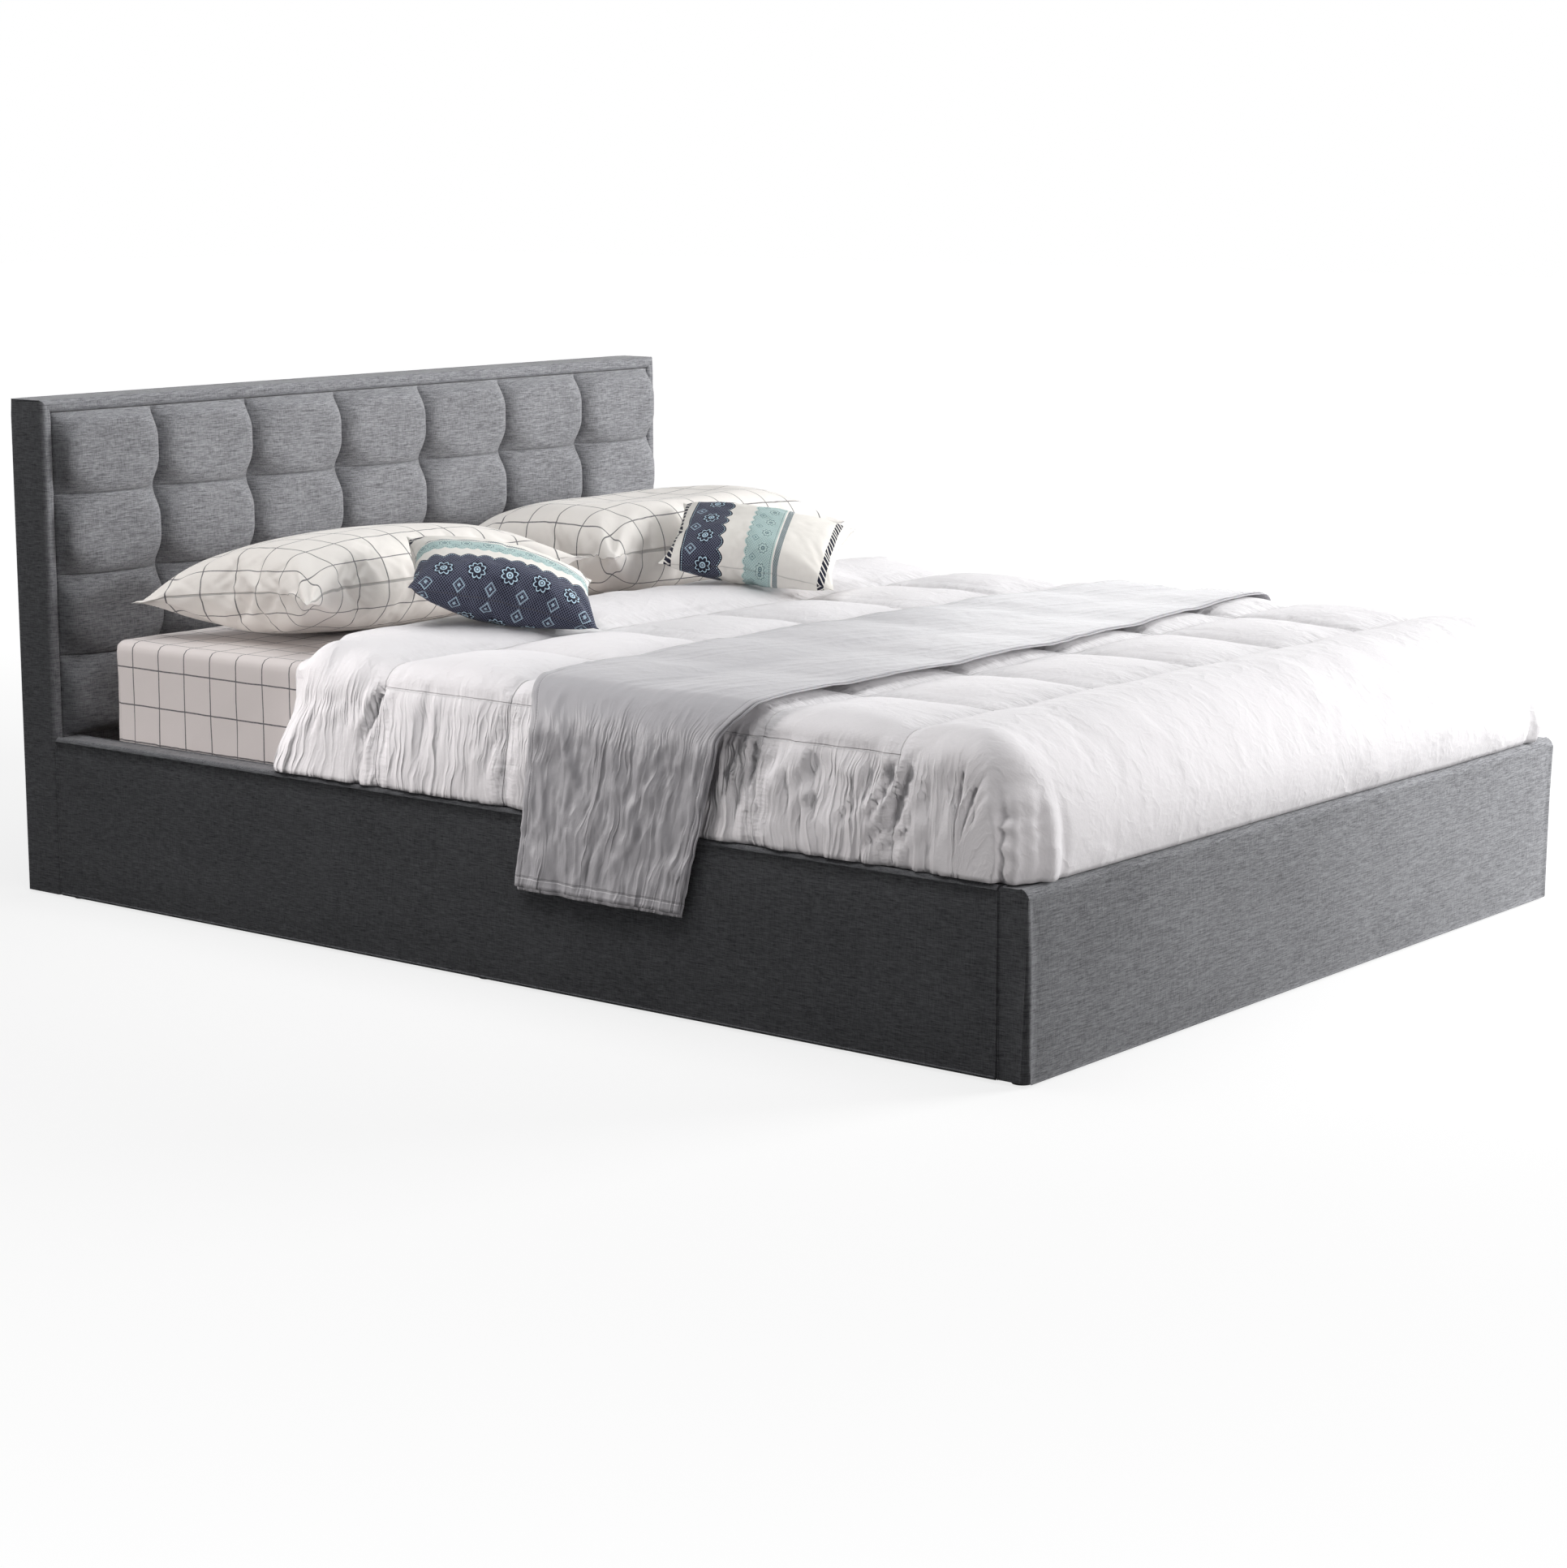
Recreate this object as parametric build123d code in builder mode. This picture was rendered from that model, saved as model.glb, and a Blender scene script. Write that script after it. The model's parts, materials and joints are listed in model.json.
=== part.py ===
from build123d import *
import os
from math import cos, sin, radians, atan2, degrees, hypot

# Double bed with an upholstered base, a tufted headboard, a mattress platform that
# lifts on links over a storage space, and its bedding. Lengths are in millimetres.
# X is across the bed, the headboard is at +Y and the floor is at Z = 0.

# Overall sizes
bed_width = 1730
bed_length = 2282
headboard_height = 930
headboard_depth = 92
side_height = 305
rail_thickness = 55
foot_thickness = 56
seat_gap = 0.3
overrun = 20

# Mattress
mattress_side_gap = 10
mattress_head_gap = 94
mattress_foot_gap = 40
mattress_height = 210
mattress_base = 280
mattress_round = 30
mattress_inset = 2
sheet_thickness = 1.7
sheet_skirt = 12

# Planes and places that several pieces share
half_width = bed_width / 2
half_length = bed_length / 2
rail_inner = half_width - rail_thickness
head_front = half_length - headboard_depth
foot_inner = foot_thickness - half_length
mattress_foot = foot_inner + mattress_foot_gap
mattress_head = head_front - mattress_head_gap
mattress_length = mattress_head - mattress_foot
mattress_width = 2 * (rail_inner - mattress_side_gap)
mattress_top = mattress_base + mattress_height
mattress_middle = (mattress_foot + mattress_head) / 2

# Feet under the base
glide_height = 4
glide_radius = 16
glide_inset = 30

# Headboard
border_width = 24
border_round = 10
panel_columns = 7
panel_rows = 4
panel_back_depth = 40
seam_depth = 6
column_crown = 40
row_crown = 11
back_board_thickness = 9
back_board_inset = 3
frame_post_width = 60
frame_rail_height = 70
frame_post_count = 4

# Rails and foot panel
board_thickness = 22
board_inset = 8
rail_padding = 3
cover_round = 15
cover_small_round = 5
foot_round = 20

# Storage floor
floor_board_thickness = 8
floor_batten_height = 12
floor_batten_width = 60
floor_batten_count = 4
floor_panel_count = 3
floor_joint = 1
floor_margin = 2

# Lifting platform frame
tube_size = 30
tube_wall = 2
tube_drop = 14
lift_space = 51
frame_foot_inset = 5
frame_head_inset = 10
centre_tube_width = 40
slat_rows = 14
slat_width = 63
slat_thickness = 7
slat_camber = 3
slat_clearance = 0.5
slat_end_inset = 12
cap_length = 26
cap_height = 11
cap_wall = 2

# Supports that the closed platform rests on
ledge_width = 72
ledge_height = 34
rest_length = 60
rest_reach = 76
rest_plate = 5
rest_pad_height = 3
rest_places_share = (0.12, 0.40)

# Corner brackets and their bolts
corner_arm = 38
corner_plate = 4
corner_height = 180
bolt_head_radius = 7
bolt_head_height = 4
bolt_spacing = 110

# Lift linkage: places are measured from the headboard's front (run) and from the floor (rise)
rear_pivot_run = 640
rear_pivot_rise = 194
rear_link_length = 300
rear_link_rest = 168
front_pivot_run = 831.4
front_pivot_rise = 71.6
front_stud_run = 410
front_stud_rise = 195
strut_foot_run = 590
strut_foot_rise = 50
strut_head_run = 460
strut_head_rise = 240
lift_plate_thickness = 5
link_thickness = 5
link_half_width = 15
front_link_start = 37
washer_thickness = 2
pivot_radius = 6
pivot_clearance = 0.1
pivot_head_radius = 10
pivot_head_height = 3
shoulder_radius = 11
plate_ear_radius = 22
bracket_thickness = 6
bracket_ear_radius = 20
bracket_length = 240
bracket_bolt_radius = 6
bracket_bolt_height = 4
strut_depth = 26
strut_radius = 9
strut_eye_radius = 11
strut_eye_thickness = 12
strut_tube_start = 14
strut_tube_length = 150
strut_bore_start = 6
rod_radius = 4
rod_start = 10
rod_eye_radius = 9
rod_eye_thickness = 10
strut_stud_radius = 5
strut_cap_length = 12
strut_cap_radius = 10

# Stops and strap
stop_radius = 5
stop_width = 220
stop_height = 90
stop_offset = 12
stop_places_share = (-0.25, 0.25)
strap_width = 40
strap_thickness = 3
strap_reach = 14

# Quilted duvet
duvet_loft = 26
duvet_crown = 9
duvet_side = 40
duvet_head_gap = 470
duvet_foot_overhang = 65
duvet_foot_round = 110
duvet_side_round = 45
duvet_corner_round = 60
duvet_rows = 4
duvet_columns = 4
duvet_side_folds = 11
duvet_foot_folds = 9
duvet_fold_depth = 9

# Runner laid across the bed
runner_length = 455
runner_setback = 592.5
runner_thickness = 5
runner_hang = 125
runner_slack = 5
runner_folds = 3
runner_fold_start = 2
runner_fold_depth = 14

# Pillows and small cushions
stuffed_seam = 4
pillow_length_share = 0.4625
pillow_width = 470
pillow_height = 192
pillow_draw = 22
pillow_head_gap = 17
left_pillow_share = -0.246875
right_pillow_share = 0.265625
cushion_length = 350
cushion_width = 226
cushion_height = 130
cushion_draw = 12
left_cushion_share = -0.2625
left_cushion_run = 160
left_cushion_rise = 79.8
left_cushion_angles = (-3, 22, -40)
right_cushion_share = 0.2
right_cushion_run = 163
right_cushion_rise = 82.7
right_cushion_angles = (-47, 28, -16)

os.makedirs("parts", exist_ok=True)


def save(piece, name):
    piece.label = name
    export_step(piece, f"parts/{name}.step")


def scallops(first, last, count, depth):
    step = (Vector(*last) - Vector(*first)) / count
    swell = Vector(step.Y, -step.X).normalized() * depth
    for index in range(count):
        start = Vector(*first) + step * index
        ThreePointArc(start, start + step / 2 + swell, start + step)


# Headboard: a boxed border with a mitred top, round a tufted panel
border_bottom = glide_height
panel_half = half_width - border_width
panel_top = headboard_height - border_width
panel_bottom = side_height + seat_gap
panel_height = panel_top - panel_bottom
panel_back = head_front + panel_back_depth
panel_seam = head_front + seam_depth
head_middle = (head_front + half_length) / 2


def mitre_plane(side):
    corner = (side * half_width, head_middle, headboard_height)
    return Plane(origin=corner, x_dir=(0, 1, 0), z_dir=(-side, 0, 1))


def border_post(side):
    with BuildPart() as post:
        with BuildSketch(Plane.XY.offset(border_bottom)) as section:
            with Locations((side * (half_width - border_width / 2), head_middle)):
                Rectangle(border_width, headboard_depth)
        extrude(amount=headboard_height - border_bottom)
        outer = post.edges().filter_by(Axis.Z).sort_by(Axis.X)
        fillet(outer[-2:] if side > 0 else outer[:2], radius=border_round)
        split(bisect_by=mitre_plane(side), keep=Keep.BOTTOM)
    return post.part


for side, side_name in ((-1, "left"), (1, "right")):
    save(border_post(side), f"headboard_border_{side_name}")

with BuildPart() as border_top:
    with BuildSketch(Plane.YZ.offset(-half_width)) as top_section:
        with Locations((head_middle, headboard_height - border_width / 2)):
            Rectangle(headboard_depth, border_width)
    extrude(amount=bed_width)
    fillet(border_top.edges().filter_by(Axis.X).sort_by(Axis.Z)[-2:], radius=border_round)
    for side in (-1, 1):
        split(bisect_by=mitre_plane(side), keep=Keep.TOP)
save(border_top.part, "headboard_border_top")

# The tufts are the common part of a row of arched columns and a stack of arched rows
with BuildPart() as tufted_panel:
    with BuildSketch(Plane.XY.offset(panel_bottom)) as columns_section:
        with BuildLine():
            Polyline((-panel_half, panel_seam), (-panel_half, panel_back),
                     (panel_half, panel_back), (panel_half, panel_seam))
            scallops((-panel_half, panel_seam), (panel_half, panel_seam), panel_columns, column_crown)
        make_face()
    extrude(amount=panel_height)
    with BuildSketch(Plane.YZ.offset(-panel_half)) as rows_section:
        with BuildLine():
            row_seam = panel_seam - column_crown + row_crown
            Polyline((row_seam, panel_bottom), (panel_back, panel_bottom),
                     (panel_back, panel_top), (row_seam, panel_top))
            scallops((row_seam, panel_top), (row_seam, panel_bottom), panel_rows, row_crown)
        make_face()
    extrude(amount=2 * panel_half, mode=Mode.INTERSECT)
save(tufted_panel.part, "headboard_panel")

with BuildPart() as lower_panel:
    with BuildSketch(Plane.XY.offset(border_bottom)) as lower_section:
        with Locations((0, (head_front + panel_back) / 2)):
            Rectangle(2 * panel_half, panel_back_depth)
    extrude(amount=panel_bottom - border_bottom)
save(lower_panel.part, "headboard_lower_panel")

back_board_front = half_length - back_board_inset - back_board_thickness
with BuildPart() as back_board:
    with BuildSketch(Plane.XY.offset(border_bottom)) as back_section:
        with Locations((0, back_board_front + back_board_thickness / 2)):
            Rectangle(2 * panel_half, back_board_thickness)
    extrude(amount=panel_top - border_bottom)
save(back_board.part, "headboard_back")

timber_depth = back_board_front - panel_back
timber_middle = (back_board_front + panel_back) / 2
post_span = 2 * panel_half - frame_post_width
post_height = panel_top - border_bottom - 2 * frame_rail_height
with BuildPart() as headboard_frame:
    for level in (border_bottom, panel_top - frame_rail_height):
        with BuildSketch(Plane.XY.offset(level)) as timber_rail:
            with Locations((0, timber_middle)):
                Rectangle(2 * panel_half, timber_depth)
        extrude(amount=frame_rail_height)
    with BuildSketch(Plane.XY.offset(border_bottom + frame_rail_height)) as posts:
        with Locations((0, timber_middle)):
            with GridLocations(post_span / (frame_post_count - 1), 0, frame_post_count, 1):
                Rectangle(frame_post_width, timber_depth)
    extrude(amount=post_height)
save(headboard_frame.part, "headboard_frame")

# Side rails: a board inside a padded cover, between the foot panel and the headboard
rail_length = head_front - foot_inner
rail_middle = (head_front + foot_inner) / 2
board_outer = rail_inner + rail_padding + board_thickness


def rail_cover(side):
    with BuildPart() as cover:
        with BuildSketch(Plane.XZ.offset(-head_front)) as cover_section:
            with Locations((side * (rail_inner + rail_thickness / 2), (glide_height + side_height) / 2)):
                Rectangle(rail_thickness, side_height - glide_height)
            corners = cover_section.vertices().sort_by(lambda v: side * v.X)
            fillet(corners[-2:].sort_by(Axis.Y)[-1], radius=cover_round)
            fillet(cover_section.vertices().sort_by(lambda v: v.Y)[:2], radius=cover_small_round)
        extrude(amount=rail_length)
        add(rail_board(side), mode=Mode.SUBTRACT)
    return cover.part


def rail_board(side):
    with BuildPart() as board:
        with BuildSketch(Plane.XZ.offset(-head_front)) as board_section:
            with Locations((side * (board_outer - board_thickness / 2), (glide_height + side_height) / 2)):
                Rectangle(board_thickness, side_height - glide_height - 2 * board_inset)
        extrude(amount=rail_length)
    return board.part


for side, side_name in ((-1, "left"), (1, "right")):
    save(rail_board(side), f"rail_board_{side_name}")
    save(rail_cover(side), f"rail_cover_{side_name}")

# Foot panel: a board in a padded cover that runs over the ends of both rails
foot_board_width = bed_width - 2 * board_inset
with BuildPart() as foot_board:
    with BuildSketch(Plane.XY.offset(glide_height + board_inset)) as foot_board_section:
        with Locations((0, foot_inner - rail_padding - board_thickness / 2)):
            Rectangle(foot_board_width, board_thickness)
    extrude(amount=side_height - glide_height - 2 * board_inset)
save(foot_board.part, "foot_board")

with BuildPart() as foot_cover:
    with BuildSketch(Plane.XY.offset(glide_height)) as foot_section:
        with Locations((0, foot_inner - foot_thickness / 2)):
            Rectangle(bed_width, foot_thickness)
    extrude(amount=side_height - glide_height)
    fillet(foot_cover.edges().filter_by(Axis.X).group_by(Axis.Z)[-1].sort_by(Axis.Y)[0], radius=foot_round)
    fillet(foot_cover.edges().filter_by(Axis.Z).group_by(Axis.Y)[0], radius=cover_round)
    fillet(foot_cover.edges().filter_by(Axis.X).group_by(Axis.Z)[0].sort_by(Axis.Y)[0],
           radius=cover_small_round)
    add(foot_board.part, mode=Mode.SUBTRACT)
save(foot_cover.part, "foot_cover")

# Low glides under the rails, the foot panel and the headboard
glide_side = half_width - glide_inset
with BuildPart() as glides:
    with BuildSketch(Plane.XY) as glide_section:
        places = [(side * glide_side, y) for side in (-1, 1)
                  for y in (foot_inner - foot_thickness / 2, rail_middle, head_front - glide_inset)]
        places += [(side * (panel_half - glide_inset), timber_middle) for side in (-1, 1)]
        with Locations(*places):
            Circle(glide_radius)
    extrude(amount=glide_height)
save(glides.part, "glides")

# Storage floor: boards on cross battens between the rails
floor_top = glide_height + floor_batten_height + floor_board_thickness
batten_span = rail_length - 2 * floor_margin - floor_batten_width
with BuildPart() as floor_battens:
    with BuildSketch(Plane.XY.offset(glide_height)) as batten_section:
        with Locations((0, rail_middle)):
            with GridLocations(0, batten_span / (floor_batten_count - 1), 1, floor_batten_count):
                Rectangle(2 * rail_inner, floor_batten_width)
    extrude(amount=floor_batten_height)
save(floor_battens.part, "floor_battens")

floor_pitch = (rail_length - 2 * floor_margin) / floor_panel_count
with BuildPart() as floor_panels:
    with BuildSketch(Plane.XY.offset(glide_height + floor_batten_height)) as floor_section:
        with Locations((0, rail_middle)):
            with GridLocations(0, floor_pitch, 1, floor_panel_count):
                Rectangle(2 * (rail_inner - floor_margin), floor_pitch - floor_joint)
    extrude(amount=floor_board_thickness)
save(floor_panels.part, "floor_panels")

# Platform frame: square tubes a little below the mattress
tube_top = mattress_base - tube_drop
tube_bottom = tube_top - tube_size
frame_half = rail_inner - lift_space
frame_foot = mattress_foot + frame_foot_inset
frame_head = mattress_head - frame_head_inset
frame_middle = (frame_foot + frame_head) / 2
side_tube_length = frame_head - frame_foot


def tube_along(plane, width, length):
    with BuildPart() as tube:
        with BuildSketch(plane) as tube_section:
            Rectangle(width, tube_size)
            Rectangle(width - 2 * tube_wall, tube_size - 2 * tube_wall, mode=Mode.SUBTRACT)
        extrude(amount=length)
    return tube.part


def long_tube(x, width, start, length):
    return tube_along(Plane(origin=(x, start, tube_middle), x_dir=(1, 0, 0), z_dir=(0, 1, 0)), width, length)


def cross_tube(y):
    plane = Plane(origin=(-cross_half, y, tube_middle), x_dir=(0, 1, 0), z_dir=(1, 0, 0))
    return tube_along(plane, tube_size, 2 * cross_half)


cross_half = frame_half - tube_size
tube_middle = (tube_top + tube_bottom) / 2
for side, side_name in ((-1, "left"), (1, "right")):
    side_tube = long_tube(side * (frame_half - tube_size / 2), tube_size, frame_foot, side_tube_length)
    save(side_tube, f"frame_side_{side_name}")
save(cross_tube(frame_foot + tube_size / 2), "frame_foot")
save(cross_tube(frame_head - tube_size / 2), "frame_head")
centre_length = side_tube_length - 2 * tube_size
save(long_tube(0, centre_tube_width, frame_foot + tube_size, centre_length), "frame_centre")

# Sprung slats in two columns, each end held in a cap on the tubes
slat_span = centre_length - 2 * slat_width
slat_pitch = slat_span / (slat_rows - 1)
slat_start = slat_clearance + cap_wall
slat_end = frame_half - slat_end_inset
slat_length = slat_end - slat_start
slat_bottom = tube_top + cap_wall
with BuildPart() as slats:
    for side in (-1, 1):
        for row in range(slat_rows):
            slat_y = frame_middle - slat_span / 2 + row * slat_pitch
            near = side * slat_start
            far = side * slat_end
            crown_x = (near + far) / 2
            with BuildSketch(Plane.XZ.offset(-slat_y - slat_width / 2)) as slat_section:
                with BuildLine():
                    under = ThreePointArc((near, slat_bottom), (crown_x, slat_bottom + slat_camber),
                                          (far, slat_bottom))
                    over = ThreePointArc((near, slat_bottom + slat_thickness),
                                         (crown_x, slat_bottom + slat_thickness + slat_camber),
                                         (far, slat_bottom + slat_thickness))
                    Line(under @ 0, over @ 0)
                    Line(under @ 1, over @ 1)
                make_face()
            extrude(amount=slat_width)
save(slats.part, "slats")

cap_width = slat_width + 2 * cap_wall
with BuildPart() as slat_caps:
    for side in (-1, 1):
        for cap_x in (slat_clearance + cap_length / 2, slat_end + cap_wall - cap_length / 2):
            with BuildSketch(Plane.XY.offset(tube_top)) as cap_section:
                with Locations((side * cap_x, frame_middle)):
                    with GridLocations(0, slat_pitch, 1, slat_rows):
                        Rectangle(cap_length, cap_width)
            extrude(amount=cap_height)
    add(slats.part, mode=Mode.SUBTRACT)
save(slat_caps.part, "slat_caps")

# Rests for the closed platform: a ledge at the foot and padded brackets on the rails
ledge_top = tube_bottom - seat_gap
with BuildPart() as foot_ledge:
    with BuildSketch(Plane.XY.offset(ledge_top - ledge_height)) as ledge_section:
        with Locations((0, foot_inner + ledge_width / 2)):
            Rectangle(2 * cross_half, ledge_width)
    extrude(amount=ledge_height)
save(foot_ledge.part, "foot_ledge")

rest_places = [foot_inner + share * rail_length for share in rest_places_share]
rest_top = ledge_top - rest_pad_height
with BuildPart() as rest_brackets:
    for side in (-1, 1):
        for rest_y in rest_places:
            with BuildSketch(Plane.XZ.offset(-rest_y - rest_length / 2)) as rest_section:
                with BuildLine():
                    wall = side * rail_inner
                    Polyline((wall, rest_top - rest_reach), (wall, rest_top),
                             (wall - side * rest_reach, rest_top),
                             (wall - side * rest_reach, rest_top - rest_plate),
                             (wall - side * rest_plate, rest_top - rest_plate),
                             (wall - side * rest_plate, rest_top - rest_reach), close=True)
                make_face()
            extrude(amount=rest_length)
save(rest_brackets.part, "rest_brackets")

with BuildPart() as rest_pads:
    with BuildSketch(Plane.XY.offset(rest_top)) as pad_section:
        pad_places = [(side * (frame_half - tube_size / 2), y) for side in (-1, 1) for y in rest_places]
        with Locations(*pad_places):
            Rectangle(tube_size, rest_length - rest_plate)
    extrude(amount=rest_pad_height)
save(rest_pads.part, "rest_pads")

# Angle brackets in the four inner corners, with hexagon bolt heads
corner_bottom = floor_top + corner_arm
with BuildPart() as corner_brackets:
    for side in (-1, 1):
        for wall_y, inward in ((head_front, -1), (foot_inner, 1)):
            wall_x = side * rail_inner
            with BuildSketch(Plane.XY.offset(corner_bottom)) as corner_section:
                with BuildLine():
                    arm_x = wall_x - side * corner_arm
                    arm_y = wall_y + inward * corner_arm
                    Polyline((wall_x, wall_y), (arm_x, wall_y), (arm_x, wall_y + inward * corner_plate),
                             (wall_x - side * corner_plate, wall_y + inward * corner_plate),
                             (wall_x - side * corner_plate, arm_y), (wall_x, arm_y), close=True)
                make_face()
            extrude(amount=corner_height)
save(corner_brackets.part, "corner_brackets")

corner_middle = corner_bottom + corner_height / 2
bolt_levels = [corner_middle - bolt_spacing / 2, corner_middle + bolt_spacing / 2]
bolt_inset = (corner_arm + corner_plate) / 2
with BuildPart() as corner_bolts:
    for side in (-1, 1):
        for wall_y, inward in ((head_front, -1), (foot_inner, 1)):
            face_x = side * (rail_inner - corner_plate)
            with BuildSketch(Plane.YZ.offset(face_x)) as rail_heads:
                with Locations(*[(wall_y + inward * bolt_inset, level) for level in bolt_levels]):
                    RegularPolygon(bolt_head_radius, 6)
            extrude(amount=-side * bolt_head_height)
            face_y = wall_y + inward * corner_plate
            with BuildSketch(Plane.XZ.offset(-face_y)) as wall_heads:
                with Locations(*[(side * (rail_inner - bolt_inset), level) for level in bolt_levels]):
                    RegularPolygon(bolt_head_radius, 6)
            extrude(amount=-inward * bolt_head_height)
save(corner_bolts.part, "corner_bolts")

# Lift linkage. Each side has a plate on the rail, two links, a gas strut and a bracket
# on the platform frame. A place is (run, rise); a depth counts inwards from the rail.
rear_pivot = (rear_pivot_run, rear_pivot_rise)
rear_stud = (rear_pivot_run + rear_link_length * cos(radians(rear_link_rest)),
             rear_pivot_rise + rear_link_length * sin(radians(rear_link_rest)))
front_pivot = (front_pivot_run, front_pivot_rise)
front_stud = (front_stud_run, front_stud_rise)
strut_foot = (strut_foot_run, strut_foot_rise)
strut_head = (strut_head_run, strut_head_rise)
link_start = lift_plate_thickness + washer_thickness + seat_gap
link_end = link_start + link_thickness
front_link_end = front_link_start + link_thickness
bracket_start = lift_space - bracket_thickness


def lift_plane(side, depth):
    return Plane(origin=(side * (rail_inner - depth), head_front, 0), x_dir=(0, -1, 0), z_dir=(-1, 0, 0))


def disc(side, place, radius, start, end, mode=Mode.ADD):
    with BuildSketch(lift_plane(side, start)) as disc_section:
        with Locations(place):
            Circle(radius)
    extrude(disc_section.sketch, amount=side * (end - start), mode=mode)


def hull_plate(side, rounds, start, end):
    with BuildSketch(lift_plane(side, start)) as plate_section:
        for place, radius in rounds:
            with Locations(place):
                Circle(radius)
        make_hull()
    extrude(plate_section.sketch, amount=side * (end - start))


def lift_plate(side):
    with BuildPart() as plate:
        hull_plate(side, [(rear_pivot, plate_ear_radius), (front_pivot, plate_ear_radius),
                          (strut_foot, plate_ear_radius)], 0, lift_plate_thickness)
        for pivot, start in ((rear_pivot, link_start), (front_pivot, front_link_start)):
            head_start = start + link_thickness + seat_gap
            disc(side, pivot, shoulder_radius, lift_plate_thickness, start - seat_gap)
            disc(side, pivot, pivot_radius, start - seat_gap, head_start)
            disc(side, pivot, pivot_head_radius, head_start, head_start + pivot_head_height)
        eye_start = strut_depth - strut_eye_thickness / 2
        eye_end = strut_depth + strut_eye_thickness / 2
        disc(side, strut_foot, rod_eye_radius, lift_plate_thickness, eye_start - seat_gap)
        disc(side, strut_foot, strut_stud_radius, eye_start - seat_gap, eye_end + seat_gap)
        disc(side, strut_foot, rod_eye_radius, eye_end + seat_gap, eye_end + seat_gap + washer_thickness)
    return plate.part


def link_bar(side, first, second, start, holes):
    with BuildPart() as bar:
        hull_plate(side, [(first, link_half_width), (second, link_half_width)], start, start + link_thickness)
        for hole in holes:
            disc(side, hole, pivot_radius + pivot_clearance, start, start + link_thickness, Mode.SUBTRACT)
    return bar.part


def rear_link(side):
    with BuildPart() as link:
        add(link_bar(side, rear_pivot, rear_stud, link_start, (rear_pivot, rear_stud)))
        boss_end = strut_depth - rod_eye_thickness / 2 - seat_gap
        disc(side, strut_head, rod_eye_radius, link_end, boss_end)
    return link.part


def lift_bracket(side):
    bracket_run = rear_stud[0] - bracket_ear_radius
    strip = [((bracket_run + tube_size / 2, tube_middle), tube_size / 2),
             ((bracket_run + bracket_length, tube_middle), tube_size / 2)]
    with BuildPart() as bracket:
        hull_plate(side, strip + [(front_stud, bracket_ear_radius)], bracket_start, lift_space)
        for stud, start in ((rear_stud, link_end), (front_stud, front_link_end)):
            disc(side, stud, shoulder_radius, start + seat_gap, bracket_start)
        disc(side, rear_stud, pivot_radius, link_start, link_end + seat_gap)
        for bolt_run in (front_stud[0] + shoulder_radius, bracket_run + bracket_length):
            disc(side, (bolt_run, tube_middle), bracket_bolt_radius, bracket_start - bracket_bolt_height,
                 bracket_start)
    return bracket.part


# Gas strut: its own plane starts at the foot eye and follows the strut's line
strut_run = strut_head[0] - strut_foot[0]
strut_rise = strut_head[1] - strut_foot[1]
strut_length = hypot(strut_run, strut_rise)
strut_angle = degrees(atan2(strut_rise, strut_run))
strut_direction = (0, -strut_run / strut_length, strut_rise / strut_length)


def strut_plane(side, distance):
    start = Vector(side * (rail_inner - strut_depth), head_front - strut_foot[0], strut_foot[1])
    return Plane(origin=start + Vector(*strut_direction) * distance, x_dir=(1, 0, 0), z_dir=strut_direction)


def round_bar(side, radius, start, end, mode=Mode.ADD):
    with BuildSketch(strut_plane(side, start)) as bar_section:
        Circle(radius)
    extrude(bar_section.sketch, amount=end - start, mode=mode)


def strut_tube(side):
    tube_end = strut_tube_start + strut_tube_length
    bore = rod_radius + pivot_clearance
    half_eye = strut_eye_thickness / 2
    with BuildPart() as tube:
        disc(side, strut_foot, strut_eye_radius, strut_depth - half_eye, strut_depth + half_eye)
        round_bar(side, rod_radius + pivot_clearance, 0, strut_tube_start)
        round_bar(side, strut_radius, strut_tube_start, tube_end - strut_cap_length)
        round_bar(side, strut_cap_radius, tube_end - strut_cap_length, tube_end)
        round_bar(side, bore, strut_tube_start + strut_bore_start, tube_end, Mode.SUBTRACT)
        disc(side, strut_foot, strut_stud_radius + pivot_clearance, strut_depth - half_eye,
             strut_depth + half_eye, Mode.SUBTRACT)
    return tube.part


def strut_rod(side):
    half_eye = rod_eye_thickness / 2
    with BuildPart() as rod:
        round_bar(side, rod_radius, strut_tube_start + rod_start, strut_length)
        disc(side, strut_head, rod_eye_radius, strut_depth - half_eye, strut_depth + half_eye)
    return rod.part


for side, side_name in ((-1, "left"), (1, "right")):
    save(lift_plate(side), f"lift_plate_{side_name}")
    save(rear_link(side), f"rear_link_{side_name}")
    front_link = link_bar(side, front_pivot, front_stud, front_link_start, (front_pivot,))
    save(front_link, f"front_link_{side_name}")
    save(lift_bracket(side), f"lift_bracket_{side_name}")
    save(strut_tube(side), f"strut_tube_{side_name}")
    save(strut_rod(side), f"strut_rod_{side_name}")

# Bent bars that keep the mattress off the headboard while the platform is up
stop_y = mattress_head + stop_offset
stop_bottom = tube_bottom + stop_radius
stop_top = mattress_base + stop_height
with BuildPart() as head_stops:
    for share in stop_places_share:
        centre = share * mattress_width
        with BuildLine() as stop_path:
            FilletPolyline((centre - stop_width / 2, frame_head, stop_bottom),
                           (centre - stop_width / 2, stop_y, stop_bottom),
                           (centre - stop_width / 2, stop_y, stop_top),
                           (centre + stop_width / 2, stop_y, stop_top),
                           (centre + stop_width / 2, stop_y, stop_bottom),
                           (centre + stop_width / 2, frame_head, stop_bottom), radius=2 * stop_radius)
        with BuildSketch(Plane(origin=stop_path.line @ 0, z_dir=stop_path.line % 0)) as stop_section:
            Circle(stop_radius)
        sweep(path=stop_path.line)
save(head_stops.part, "head_stops")

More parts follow.
